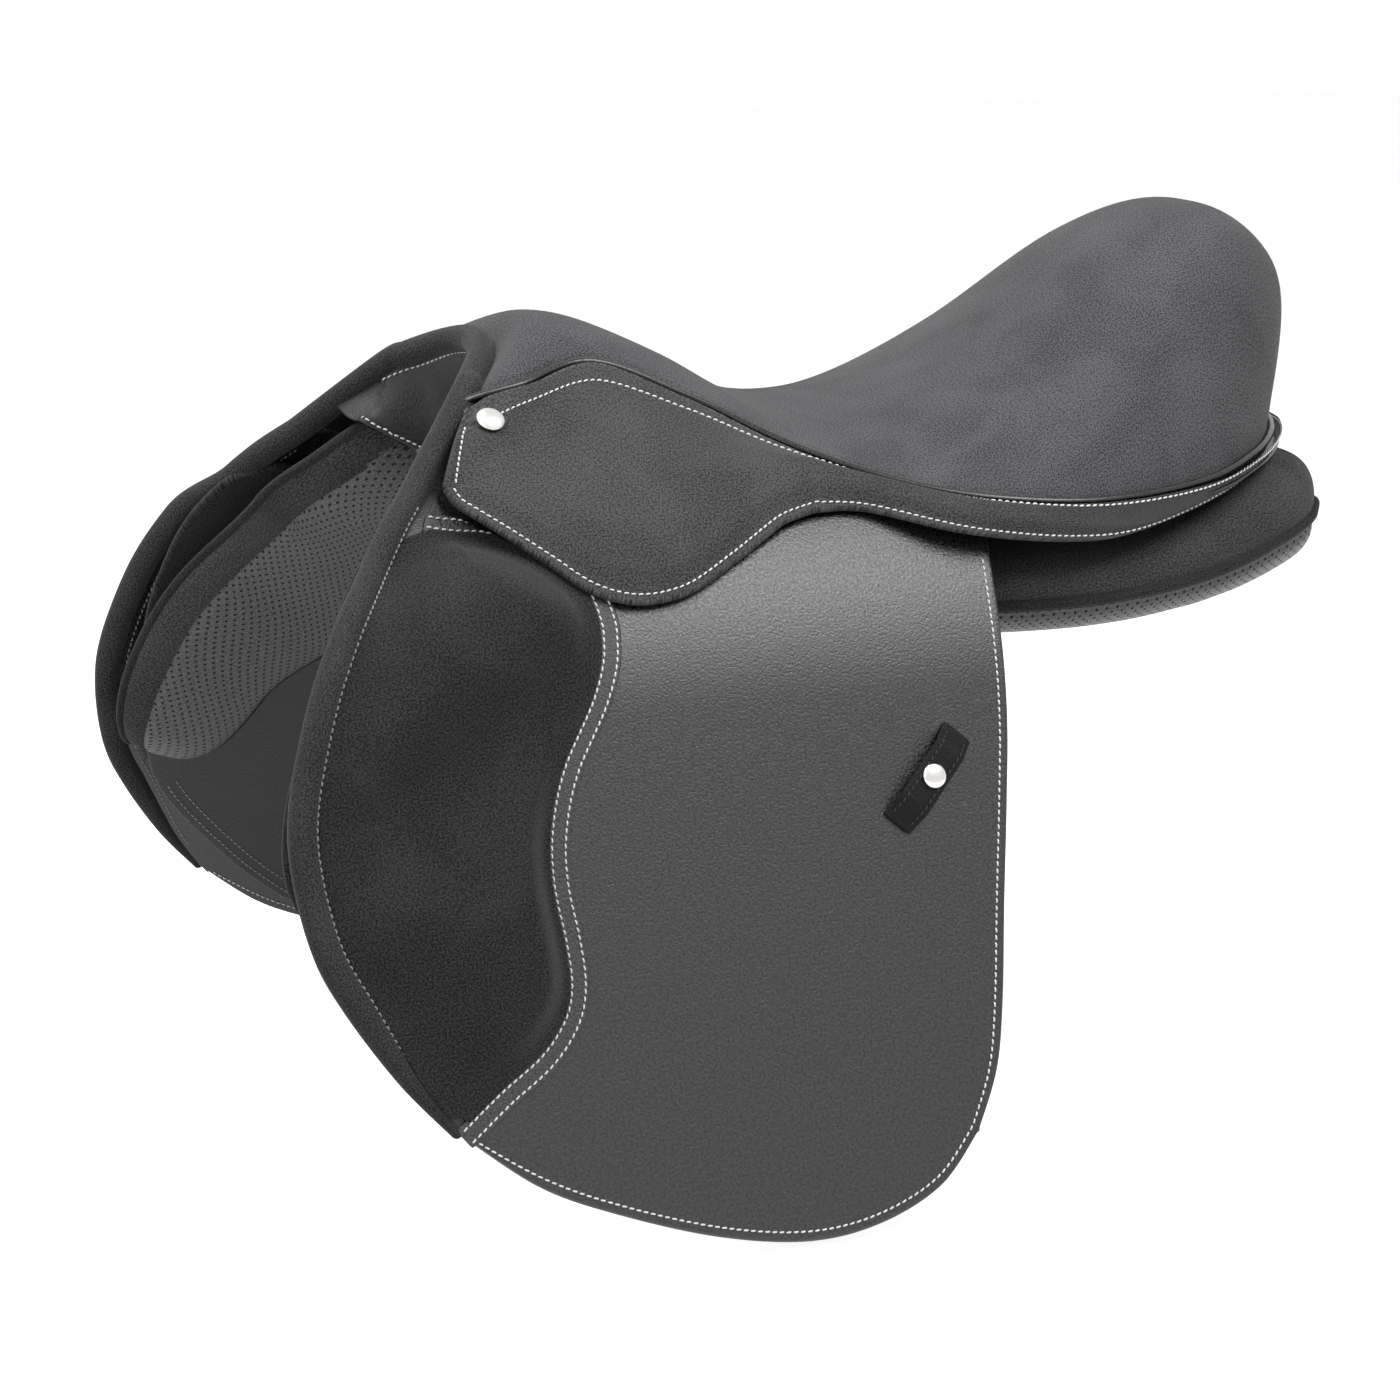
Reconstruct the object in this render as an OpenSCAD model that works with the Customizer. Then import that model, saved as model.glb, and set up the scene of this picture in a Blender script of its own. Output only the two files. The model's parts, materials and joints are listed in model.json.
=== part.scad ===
// Jumping saddle with folding skirts and flaps, hanging girth straps and stirrup bars.
// +X points to the cantle, +Y to the off side, +Z up.
// The origin lies on the centre plane, level with the panels' lowest bearing line.

/* [Seat] */
// Length of the seat from the front of the welt to the back of the cantle
seat_l = 441; // [420:1:470]
// How far the front of the welt lies ahead of the origin
seat_fore = 188; // [178:1:198]
// Half width of the seat at its widest
seat_hw = 140; // [132:1:150]
// Height of the cantle's top above the panels' bearing line
cantle_h = 187; // [178:1:200]
// Thickness of the seat's cover
cover_t = 2.5; // [1.5:0.1:4]
// Diameter of the piped welt around the seat
welt_d = 5; // [4:0.1:6]
// Thickness of the moulded tree
tree_t = 9; // [7:0.5:11]
// Thickness of the webbing under the seat
web_t = 2; // [1:0.1:3]

/* [Flap] */
// Width of the flap from its front roll to its rear edge
flap_w = 341; // [325:1:360]
// Length of the flap below the bend line
flap_l = 232; // [215:1:250]
// Length of the flap's front edge above the bend line, up to the pommel
flap_up = 160; // [150:1:170]
// How far the flap's front reaches ahead of the front of the welt
flap_fore = 104; // [94:1:114]
// Thickness of the flap's leather
flap_t = 3.5; // [2.5:0.1:5]
// Angle of the hanging flap from upright
splay = 19; // [15:0.5:23]
// Radius on which the flap bends over the panel
bend_r = 205; // [195:1:215]
// Half width across the flaps at the bend line
bend_y = 172; // [166:1:180]
// How far the bend line lies below the tree's rails
bend_drop = 80; // [75:0.5:85]
// How far the flap's fold lies above the bend line, along the flap
fold_up = 45; // [40:0.5:47]
// Diameter of the padded roll on the flap's front edge
roll_d = 13; // [10:0.5:15]
// Thickness of the knee pad at its fullest
pad_t = 15; // [10:0.5:18]
// Thickness of the trim strip behind the knee pad
trim_t = 1.6; // [1:0.1:2.5]
// Width of the trim strip
trim_w = 9; // [7:0.5:12]

/* [Skirt] */
// Thickness of the padded skirt
skirt_t = 4.5; // [3:0.1:6]
// Free height for the stirrup leather between flap and skirt
skirt_gap = 2.6; // [2:0.1:4]
// How far the skirt's fold lies above the bend line, along the flap
skirt_fold_up = 112; // [108:0.5:116]

/* [Underside] */
// Distance of a panel's bearing line from the centre plane
panel_y = 89; // [84:1:94]
// Width of a panel's cushion at its widest
panel_w = 92; // [86:1:96]
// Thickness of a panel's cushion at its fullest
panel_t = 52; // [48:0.5:54]
// Thickness of the sweat flap
sweat_t = 2.5; // [1.5:0.1:3.5]
// Free space on each side of the girth straps
strap_gap = 4.6; // [4:0.1:6]
// Width of a girth strap
strap_w = 25; // [20:0.5:28]
// Thickness of a girth strap
strap_t = 4; // [3:0.1:5]
// Length of a girth strap below its seam
strap_l = 172; // [150:1:180]
// Radius of a punched hole in a girth strap
strap_hole_r = 2.6; // [2:0.1:3.2]
// Number of punched holes in a girth strap
strap_holes = 6; // [3:1:7]

/* [Metalwork] */
// Radius of the round stirrup bar
bar_r = 4; // [3.5:0.1:4.5]
// Length of the stirrup bar
bar_l = 58; // [50:1:64]
// Free gap behind the stirrup bar
bar_gap = 6.5; // [6:0.1:7]
// Thickness of the stirrup bar's base plate
bar_plate_t = 3; // [2:0.1:4]
// Radius of the thumb catch's pin
pin_r = 1.25; // [1:0.05:1.5]
// Thickness of the steel gullet plate
gullet_t = 5; // [4:0.1:6]
// Inner radius of the gullet plate's arch
gullet_r = 81; // [79:0.5:83]
// Length of the gullet plate along the saddle
gullet_l = 28; // [22:1:32]
// Radius of the gullet screws' shanks
screw_r = 3; // [2:0.1:4]
// Diameter of the nail head on the skirt
nail_d = 13; // [10:0.5:15]
// Diameter of the stud on the keeper
stud_d = 11; // [8:0.5:12]

/* [Keeper] */
// Length of the stirrup leather's keeper
keeper_l = 50; // [44:1:56]
// Width of the keeper
keeper_w = 14; // [11:0.5:17]
// Thickness of the keeper's strap
keeper_t = 2; // [1.5:0.1:3]
// Free height under the keeper
keeper_gap = 6; // [5.8:0.1:7]
// Slant of the keeper on the flap
keeper_slant = 48; // [40:1:56]

/* [Hidden] */
// Clearance between neighbours
fit = 0.35;
// Running clearance of the thumb catch on its pin
run_fit = 0.05;
// Overrun of every cut
over = 1;

// Colours of the materials
suede = "#4a4a4c";
dark_suede = "#2e2e30";
grained = "#48484a";
black = "#1c1c1e";
steel = "#c4c6c8";
plastic = "#3a3a3c";
webbing = "#8a8578";
foam = "#d8d2c0";

// Layers of the flap's build-up, measured outwards from the middle of the flap's leather
flap_out = flap_t / 2;
pad_in = flap_out + fit;
skirt_in = flap_out + skirt_gap;
strap_out = -flap_out - strap_gap;
strap_in = strap_out - strap_t;
girth_web_t = web_t;
girth_web_out = strap_in - fit;
girth_web_in = girth_web_out - girth_web_t;
sweat_out = girth_web_in - fit;
sweat_in = sweat_out - sweat_t;
panel_out = sweat_in - fit;
fold_s = -fold_up;
skirt_fold_s = -skirt_fold_up;
fold_gap = fit;

// Heights: the tree's rails over the panels, the arch in the head, the tree's head and the pommel over it
tree_drop = 2.8;
rail_gap = 6.2;
rail_z = panel_t + rail_gap + tree_t + tree_drop;
bend_z = rail_z - bend_drop;
gullet_drop = 40.5;
gullet_z = rail_z - gullet_drop;
head_gap = 1.7;
head_z = gullet_z + gullet_r + gullet_t + head_gap + tree_t + tree_drop;
head_foam_t = 17;
pommel_h = head_z + head_foam_t;
// Height from shares of the pommel's and the cantle's rise over the rails
function height(f, r) = rail_z + f * (pommel_h - rail_z) + r * (cantle_h - rail_z);

// Curves and grids

function mix(a, b, t) = a * (1 - t) + b * t;
function unit(v) = v / norm(v);
function spow(v, e) = sign(v) * pow(abs(v), e);

// Smooth step from 0 at a to 1 at b
function ease(a, b, v) = let (t = max(0, min(1, (v - a) / (b - a)))) t * t * (3 - 2 * t);

// Point at t, from 0 to 1, of the smooth curve through the points p
function at(p, t) =
    let (n = len(p) - 1, k = max(0, min(floor(t * n), n - 1)), f = t * n - k,
        a = p[max(k - 1, 0)], b = p[k], c = p[k + 1], d = p[min(k + 2, n)])
    (2 * b + (c - a) * f + (2 * a - 5 * b + 4 * c - d) * f * f + (3 * b - a - 3 * c + d) * f * f * f) / 2;

// Point of the patch spanned by four edge curves
function patch(top, bottom, front, rear, u, v) =
    mix(at(front, v), at(rear, v), u) + mix(at(top, u), at(bottom, u), v)
    - mix(mix(at(top, 0), at(top, 1), u), mix(at(bottom, 0), at(bottom, 1), u), v);

// Cross-section of the flaps: place and slope at a distance s below the bend line, d outwards
function slope(s) = s > 0 ? splay : splay - s / bend_r * 180 / PI;
function prof(s, d) =
    let (a = slope(s),
        y = s > 0 ? bend_y + s * sin(splay) : bend_y - bend_r * (cos(splay) - cos(a)),
        z = s > 0 ? bend_z - s * cos(splay) : bend_z + bend_r * (sin(a) - sin(splay)))
    [y + d * cos(a), z + d * sin(a)];
function lay(q, d) = let (p = prof(q[1], d)) [q[0], p[0], p[1]];

// Place on the flap's outline from shares of its width and length
function flap_x(a) = a * flap_w - flap_fore - seat_fore;
function flap_s(a) = a * (a < 0 ? flap_up : flap_l);
function flap_pt(q) = [flap_x(q[0]), flap_s(q[1])];
function flap_pts(shares) = [for (q = shares) flap_pt(q)];

// Faces of a grid of r rows and c columns, on both skins and all round its rim
function grid_faces(r, c, ring) =
    let (n = r * c, last = ring ? r - 1 : r - 2)
    [for (i = [0:last], j = [0:c - 2])
        let (k = (i + 1) % r, a = i * c + j, b = k * c + j)
        each [[a, b, a + 1], [b, b + 1, a + 1],
            [n + a, n + a + 1, n + b], [n + b, n + a + 1, n + b + 1]],
     for (i = [0:last])
        let (k = (i + 1) % r, a = i * c, b = k * c, e = c - 1)
        each [[a, n + b, b], [a, n + a, n + b],
            [a + e, b + e, n + b + e], [a + e, n + b + e, n + a + e]],
     if (!ring) for (j = [0:c - 2])
        let (e = (r - 1) * c)
        each [[j, j + 1, n + j + 1], [j, n + j + 1, n + j],
            [e + j, n + e + j + 1, e + j + 1], [e + j, n + e + j, n + e + j + 1]]];

// Solid between an outer and an inner skin
module shell(outer, inner, ring = false)
    polyhedron([for (row = outer) each row, for (row = inner) each row],
        grid_faces(len(outer), len(outer[0]), ring));

// Solid through closed rings, with flat ends
module loft(rings) {
    m = len(rings[0]);
    e = (len(rings) - 1) * m;
    polyhedron([for (r = rings) each r], [
        for (i = [0:len(rings) - 2], j = [0:m - 1])
            let (k = (j + 1) % m, a = i * m, b = a + m)
            each [[a + j, a + k, b + j], [b + j, a + k, b + k]],
        for (j = [1:m - 2]) [0, j + 1, j],
        for (j = [1:m - 2]) [e, e + j, e + j + 1]]);
}

// Round tube along a path, with its rings turned from a side direction
module tube(path, r, sides, ref) {
    n = len(path) - 1;
    loft([for (i = [0:n])
        let (t = unit(path[min(i + 1, n)] - path[max(i - 1, 0)]),
            b = unit(cross(t, ref)), c = cross(b, t))
        [for (k = [0:sides - 1]) path[i] + r * (cos(360 * k / sides) * b + sin(360 * k / sides) * c)]]);
}

// Sheet laid on the flap's cross-section between two layers
module sheet(top, bottom, front, rear, nu, nv, d_out, d_in)
    shell([for (i = [0:nv]) [for (j = [0:nu])
            lay(patch(top, bottom, front, rear, j / nu, i / nv), d_out)]],
        [for (i = [0:nv]) [for (j = [0:nu])
            lay(patch(top, bottom, front, rear, j / nu, i / nv), d_in)]]);

// Local frame on the flap: X to the rear, Y down the flap, Z outwards
module on_flap(x, s, d) {
    p = prof(s, d);
    translate([x, p[0], p[1]]) rotate([slope(s) - 90, 0, 0]) children();
}

module near() mirror([0, 1, 0]) children();

// Seat

// Edge of the seat along the welt: shares of the seat's length and half width, and of the pommel's
// and the cantle's rise
welt_shares = [[0, 0.6, 0.518, 0], [0.085, 0.46, 0.678, 0], [0.18, 0.35, 0.777, 0], [0.28, 0.47, 0.555, 0],
    [0.37, 0.67, 0.285, 0], [0.46, 0.85, 0.1, 0], [0.55, 0.97, 0, 0], [0.67, 1, 0, -0.031],
    [0.8, 0.9, 0, -0.007], [0.89, 0.72, 0, 0.049], [0.95, 0.5, 0, 0.089], [0.985, 0.27, 0, 0.113],
    [1, 0.06, 0, 0.121]];
// Middle line of the seat: shares of the length and of both rises
ridge_shares = [[0.115, 0.937, 0], [0.15, 1, 0], [0.205, 0.937, 0], [0.29, 0.715, 0], [0.37, 0.457, 0],
    [0.46, 0.383, 0], [0.555, 0, 0.313], [0.68, 0, 0.552], [0.815, 0, 0.888], [0.925, 0, 0.992],
    [1.01, 0, 0.784], [1.025, 0, 0.473], [1.002, 0, 0.137]];
// Middle line of the foam's base: shares of the length and of the head's and the cantle's rise
base_shares = [[0.12, 0.953, 0], [0.15, 1, 0], [0.205, 0.89, 0], [0.29, 0.509, 0], [0.37, 0.208, 0],
    [0.46, 0.05, 0], [0.555, 0, 0], [0.68, 0, 0.017], [0.815, 0, 0.121], [0.915, 0, 0.241],
    [0.965, 0, 0.273], [0.985, 0, 0.201], [0.99, 0, 0.081]];
front_power = 2.2;
rear_power = 3;
rear_power_shares = [0.45, 0.75];
base_in = 4;
base_drop = 6;

function seat_x(a) = a * seat_l - seat_fore;
function seat_at(q) = [seat_x(q[0]), q[1] * seat_hw, height(q[2], q[3])];
welt_pts = [for (q = welt_shares) seat_at(q)];
ridge_pts = [for (q = ridge_shares) [seat_x(q[0]), 0, height(q[1], q[2])]];
base_pts = [for (q = base_shares)
    [seat_x(q[0]), 0, height(0, q[2]) + q[1] * (head_z - rail_z)]];
seat_step = 0.004;

// Outward direction of the seat's edge in plan
function edge_out(t) =
    let (d = at(welt_pts, min(t + seat_step, 1)) - at(welt_pts, max(t - seat_step, 0)))
    unit([-d[1], d[0], 0]);
function seat_power(t) =
    mix(front_power, rear_power, ease(rear_power_shares[0], rear_power_shares[1], t));
function dome(r, w, u, t) = let (f = pow(abs(u), seat_power(t)))
    [mix(r[0], w[0], f), u * w[1], mix(r[2], w[2], f)];
function seat_pt(t, u) = dome(at(ridge_pts, t), at(welt_pts, t), u, t);
function base_pt(t, u) =
    dome(at(base_pts, t), at(welt_pts, t) - base_in * edge_out(t) - [0, 0, base_drop], u, t);
function seat_normal(t, u) =
    unit(cross(seat_pt(min(t + seat_step, 1), u) - seat_pt(max(t - seat_step, 0), u),
        seat_pt(t, min(u + seat_step, 1)) - seat_pt(t, max(u - seat_step, -1))));
function seat_skin(t, u, depth) = seat_pt(t, u) - depth * seat_normal(t, u);

seat_rows = 24;
seat_cols = 14;
function seat_grid(first, depth) = [for (i = [first:seat_rows]) [for (j = [0:seat_cols])
    seat_skin(i / seat_rows, 1 - 2 * j / seat_cols, depth)]];
function base_grid(t0, t1, u1, rows, cols, depth) = [for (i = [0:rows]) [for (j = [0:cols])
    base_pt(mix(t0, t1, i / rows), u1 * (1 - 2 * j / cols)) - [0, 0, depth]]];

module seat_cover() color(suede) shell(seat_grid(0, 0), seat_grid(0, cover_t));

// The foam starts a row behind the front of the cover, clear of the pommel roll
foam_row = 1;
module seat_foam() color(foam) shell(seat_grid(foam_row, cover_t + fit),
    base_grid(foam_row / seat_rows, 1, 1, seat_rows - foam_row, seat_cols, 0));

// Welt: a cord around the seat's edge, from the near front around the cantle to the off front
welt_rings = 34;
welt_start_share = 0.012;
welt_path = [for (i = [0:welt_rings]) let (t = mix(welt_start_share, 1, i / welt_rings))
    at(welt_pts, t) + (welt_d / 2 + 3 * fit) * edge_out(t) - [0, 0, welt_d / 4]];
module seat_welt() color(black)
    tube([for (p = welt_path) [p[0], -p[1], p[2]],
        for (i = [welt_rings:-1:0]) welt_path[i]], welt_d / 2, 6, [0, 0, 1]);

// Tree: a ring from the head along both rails to the cantle, under the foam
tree_outer_shares = [0.06, 0.86, 0.9];
tree_inner_shares = [0.2, 0.73, 0.5];
tree_square = 0.6;
tree_steps = 40;
function ring_pt(sh, a) = [mix(sh[0], sh[1], (1 - spow(cos(a), tree_square)) / 2),
    sh[2] * spow(sin(a), tree_square)];
function tree_grid(depth) = [for (i = [0:tree_steps - 1]) [for (j = [0:2])
    let (a = 360 * i / tree_steps,
        q = mix(ring_pt(tree_outer_shares, a), ring_pt(tree_inner_shares, a), j / 2))
    base_pt(q[0], q[1]) - [0, 0, depth]]];
module tree() color(plastic) shell(tree_grid(tree_drop), tree_grid(tree_drop + tree_t), true);

// Webbing from the head to the cantle, and the lining that closes the gullet channel under it
web_shares = [0.14, 0.8, 0.3];
lining_lap_share = 0.42;
lining_half = panel_y - lining_lap_share * panel_w;
lining_shares = [0.2, 0.84, lining_half / seat_hw];
web_drop = 1.9;
web_depth = tree_drop + tree_t + web_drop;
lining_depth = web_depth + web_t + fit;
strip_rows = 16;
strip_cols = 6;
module strip(sh, depth, t) shell(base_grid(sh[0], sh[1], sh[2], strip_rows, strip_cols, depth),
    base_grid(sh[0], sh[1], sh[2], strip_rows, strip_cols, depth + t));
module seat_web() color(webbing) strip(web_shares, web_depth, web_t);
module channel_lining() color(dark_suede) strip(lining_shares, lining_depth, sweat_t);

// Points of the tree, down both sides of the head behind the gullet plate
point_front_share = 0.046;
point_rear_share = 0.305;
point_top_share = -0.957;
point_bottom_share = -0.508;
point_t = 6;
// How far the upper flap bends in to the tree
flap_sink = 21;
point_fit = girth_web_t + flap_out + 3 * fit;
point_layer = -flap_sink - point_fit - point_t;
point_rows = 8;
// Centre of the flap's bend
bend_c = [bend_y - bend_r * cos(splay), bend_z - bend_r * sin(splay)];
// Layer of the flap's cross-section at which its arc meets the outside of the gullet plate's arch
function arch_layer(s) =
    let (a = slope(s), n = [cos(a), sin(a)], r = gullet_r + gullet_t + fit,
        e = bend_c - [0, gullet_z], k = (e * n) * (e * n) - e * e + r * r)
    k < 0 ? point_layer : sqrt(k) - e * n - bend_r;
// The points lie on the arch, and lower down on the inside of the flap's build-up
function point_depth(s) = max(point_layer, arch_layer(s));
// How far the upper flap lies in at a distance s along it: from above the fold it bends in to the points
sink_start_share = 1.15;
function nail_sink(s) = min(-point_depth(s) - point_t - point_fit,
    flap_sink * ease(fold_s * sink_start_share, bar_s + bar_plate_w / 2, s));
function point_grid(d) = [for (i = [0:point_rows]) [for (j = [0:4])
    let (x = seat_x(mix(point_front_share, point_rear_share, j / 4)),
        s = flap_s(mix(point_top_share, point_bottom_share, i / point_rows)))
    lay([x, s], point_depth(s) + d)]];
module tree_point() color(plastic) shell(point_grid(point_t), point_grid(0));

// Gullet plate: a steel arch under the tree's head
gullet_share = 0.1;
gullet_x = seat_x(gullet_share);
gullet_turn = 62;
gullet_leg = 8;
gullet_steps = 12;
screw_turns = [-48, -28, 28, 48];
screw_head_shares = [1.8, 0.8];
screw_head_r = screw_r * screw_head_shares[0];
screw_head_t = screw_r * screw_head_shares[1];
screw_l_share = 1.05;
screw_l = gullet_t * screw_l_share;
module gullet_section() {
    arc = [for (i = [-gullet_steps:gullet_steps]) i * gullet_turn / gullet_steps];
    tip = gullet_leg * [cos(gullet_turn), -sin(gullet_turn)];
    edge = function (r) [for (a = arc) r * [sin(a), cos(a)]];
    ends = function (r) r * [sin(gullet_turn), cos(gullet_turn)] + tip;
    out = gullet_r + gullet_t;
    flip = function (p) [-p[0], p[1]];
    polygon(concat([flip(ends(out))], edge(out), [ends(out), ends(gullet_r)],
        [for (i = [2 * gullet_steps:-1:0]) edge(gullet_r)[i]], [flip(ends(gullet_r))]));
}
module at_screws() translate([gullet_x + gullet_l / 2, 0, gullet_z])
    for (a = screw_turns) rotate([-a, 0, 0]) translate([0, 0, gullet_r]) children();
module gullet_plate() color(steel) difference() {
    translate([gullet_x, 0, gullet_z]) rotate([90, 0, 90]) linear_extrude(gullet_l) gullet_section();
    at_screws() translate([0, 0, -over]) cylinder(r = screw_r + fit, h = gullet_t + 2 * over, $fn = 24);
}
module gullet_screws() color(steel) at_screws() {
    translate([0, 0, -screw_head_t - fit]) cylinder(r = screw_head_r, h = screw_head_t, $fn = 24);
    translate([0, 0, -fit]) cylinder(r = screw_r, h = screw_l, $fn = 24);
}

// Gullet cover: the grained lining of the arch, cut back at the top
cover_r_share = 0.648;
cover_rise_share = 0.344;
cover_r = gullet_r * cover_r_share;
cover_z = gullet_z + gullet_r * cover_rise_share;
cover_turn = 75;
cover_steps = 16;
cover_front_shares = [0.09, 0.11];
cover_rear_shares = [0.15, 0.035];
arch_lining_t = 1.8;
function cover_edge(shares, a) = seat_x(mix(shares[0], shares[0] - shares[1], 1 - cos(a)));
function cover_grid(r) = [for (i = [0:cover_steps]) let (a = mix(-cover_turn, cover_turn, i / cover_steps))
    [for (j = [0:3])
        [mix(cover_edge(cover_front_shares, a), cover_edge(cover_rear_shares, a), j / 3),
            r * sin(a), cover_z + r * cos(a)]]];
module gullet_cover() color(grained) shell(cover_grid(cover_r), cover_grid(cover_r - arch_lining_t));

// Flap

// Front edge of the roll, bottom edge and rear edge of the flap
front_shares = [[0.285, -1], [0.237, -0.805], [0.187, -0.645], [0.136, -0.464], [0.084, -0.281],
    [0.041, -0.087], [0.006, 0.11], [0.001, 0.235], [0.017, 0.38], [0.05, 0.49], [0.108, 0.625],
    [0.168, 0.73]];
roll_fold_share = 4 / 11;
bottom_shares = [[0.168, 0.73], [0.27, 0.835], [0.37, 0.905], [0.5, 0.97], [0.62, 1], [0.72, 0.985],
    [0.81, 0.93], [0.87, 0.84]];
rear_shares = [[0.993, -0.281], [0.982, 0.05], [0.966, 0.22], [0.945, 0.41], [0.925, 0.6],
    [0.905, 0.73], [0.87, 0.84]];
rear_top_shares = [[1, -0.435], [0.999, -0.362], [0.993, -0.281]];
roll_r = roll_d / 2;
roll_fit = 2 * fit;
roll_sink_share = 1.3;
roll_layer = roll_r - flap_t * roll_sink_share;

// The front edge lies in towards the panel between the pommel and the fold
front_dip = 10;
dip_shares = [-0.29, -0.522, -0.899, -1.073];
function dip(s) = front_dip * ease(flap_s(dip_shares[0]), flap_s(dip_shares[1]), s)
    * (1 - ease(flap_s(dip_shares[2]), flap_s(dip_shares[3]), s));

// Points of a downward curve on the flap moved in from the front
function inset(p, w) = let (n = len(p) - 1) [for (i = [0:n])
    let (t = unit(p[min(i + 1, n)] - p[max(i - 1, 0)])) p[i] + w * [t[1], -t[0]]];
function portion(p, t0, t1, n) = [for (i = [0:n]) at(p, mix(t0, t1, i / n))];
// A curve whose first or last end is run on, or cut, to a distance s along the flap
function reach(a, b, s) = mix(a, b, (s - a[1]) / (b[1] - a[1]));
function from_fold(p, s) = [for (i = [0:len(p) - 1]) i == 0 ? reach(p[0], p[1], s) : p[i]];
function to_fold(p, s) = let (n = len(p) - 1)
    [for (i = [0:n]) i == n ? reach(p[n - 1], p[n], s) : p[i]];
function line(a, b) = [a, mix(a, b, 1 / 3), mix(a, b, 2 / 3), b];

roll_line = inset(flap_pts(front_shares), roll_r);
flap_front = inset(portion(flap_pts(front_shares), roll_fold_share, 1, 9), roll_d + roll_fit);
flap_lead = from_fold(flap_front, fold_s);
flap_trail = from_fold(flap_pts(rear_shares), fold_s);
flap_hem = [for (i = [0:7]) i == 0 ? flap_lead[9] : flap_pts(bottom_shares)[i]];
module flap() color(grained)
    sheet(line(flap_lead[0], flap_trail[0]), flap_hem, flap_lead, flap_trail, 14, 12, flap_out, -flap_out);

// Upper flap: bends in under the skirt, to where it is nailed to the tree
top_start_share = 1 / 11;
top_edge_shares = [[0.3, -0.768], [0.36, -0.681], [0.5, -0.623], [0.72, -0.623], [0.88, -0.515]];
sink_x_shares = [0.26, 0.4];
top_front = inset(portion(flap_pts(front_shares), top_start_share, roll_fold_share, 6), roll_d + roll_fit);
top_lead = to_fold(top_front, fold_s - fold_gap);
top_rear = to_fold(portion(flap_pts(rear_top_shares), 0, 1, 4), fold_s - fold_gap);
top_edge = concat([top_lead[0]], flap_pts(top_edge_shares), [top_rear[0]]);
function sink(q) = mix(dip(q[1]), nail_sink(q[1]),
    ease(flap_x(sink_x_shares[0]), flap_x(sink_x_shares[1]), q[0]));
function top_grid(d) = [for (i = [0:8]) [for (j = [0:14])
    let (q = patch(top_edge, line(top_lead[6], top_rear[4]), top_lead, top_rear, j / 14, i / 8))
    lay(q, d - sink(q))]];
module flap_top() color(grained) shell(top_grid(flap_out), top_grid(-flap_out));

// Knee pad: two full blocks with a slanting hollow between them
pad_rear_shares = [[0.437, -0.281], [0.432, -0.174], [0.41, -0.058], [0.36, 0.085], [0.335, 0.2],
    [0.33, 0.3], [0.337, 0.4], [0.338, 0.48], [0.325, 0.54], [0.29, 0.6], [0.235, 0.655], [0.19, 0.705]];
pad_top_shares = [[0.25, -0.645], [0.3, -0.58], [0.345, -0.5], [0.385, -0.413], [0.425, -0.312],
    [0.437, -0.286]];
hollow_shares = [[0.076, 0.185], [0.35, -0.058]];
hollow_depth_share = 0.62;
hollow_width_share = 0.1;
pad_edge_share = 0.2;
pad_lead = from_fold(inset(flap_lead, fit), fold_s);
pad_trail = from_fold(flap_pts(pad_rear_shares), fold_s);
// Fullness of the pad from the slanting hollow across it
function hollow(q) =
    let (a = flap_pt(hollow_shares[0]), b = flap_pt(hollow_shares[1]),
        n = unit([a[1] - b[1], b[0] - a[0]]), k = ((q - a) * n) / (hollow_width_share * flap_l))
    1 - hollow_depth_share * exp(-k * k);
function swell(u, v) = (1 - pow(abs(2 * u - 1), 3)) * (1 - pow(abs(2 * v - 1), 5));
pad_foot_share = 0.93;
function pad_q(u, v) = patch(line(pad_lead[0], pad_trail[0]), line(pad_lead[9], pad_trail[11]),
    pad_lead, pad_trail, u, v * pad_foot_share);
function pad_full(u, v) = pad_t * mix(pad_edge_share, 1, swell(u, v) * hollow(pad_q(u, v)));
function pad_grid(full) = [for (i = [0:14]) [for (j = [0:8])
    lay(pad_q(j / 8, i / 14), pad_in + full * pad_full(j / 8, i / 14))]];
module knee_pad() color(dark_suede) shell(pad_grid(1), pad_grid(0));

// Upper end of the knee pad, above the fold
pad_top_start_share = 2 / 11;
pad_top_full_share = 0.3;
pad_top_edge_share = 0.16;
pad_thin_x_shares = [0.3, 0.4];
pad_thin_share = 0.5;
pad_top_lead = to_fold(inset(portion(flap_pts(front_shares), pad_top_start_share, roll_fold_share, 5),
    roll_d + 2 * roll_fit), fold_s - fold_gap);
pad_top_head = [for (i = [0:5]) i == 0 ? pad_top_lead[0] : flap_pt(pad_top_shares[i])];
pad_top_foot = line(pad_top_lead[5], pad_trail[0] - [0, fold_gap]);
pad_top_rear = line(pad_top_head[5], pad_top_foot[3]);
function pad_top_q(u, v) = patch(pad_top_head, pad_top_foot, pad_top_lead, pad_top_rear, u, v);
// Thinner towards the rear, where the skirt covers it
function pad_top_thin(x) =
    1 - pad_thin_share * ease(flap_x(pad_thin_x_shares[0]), flap_x(pad_thin_x_shares[1]), x);
function pad_top_t(u, v, x) =
    pad_t * mix(pad_top_edge_share, pad_top_full_share, swell(u, v)) * pad_top_thin(x);
function pad_top_grid(full) = [for (i = [0:6]) [for (j = [0:8]) let (q = pad_top_q(j / 8, i / 6))
    lay(q, pad_in + 2 * fit - sink(q) + full * pad_top_t(j / 8, i / 6, q[0]))]];
module pad_top() color(suede) shell(pad_top_grid(1), pad_top_grid(0));

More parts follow.
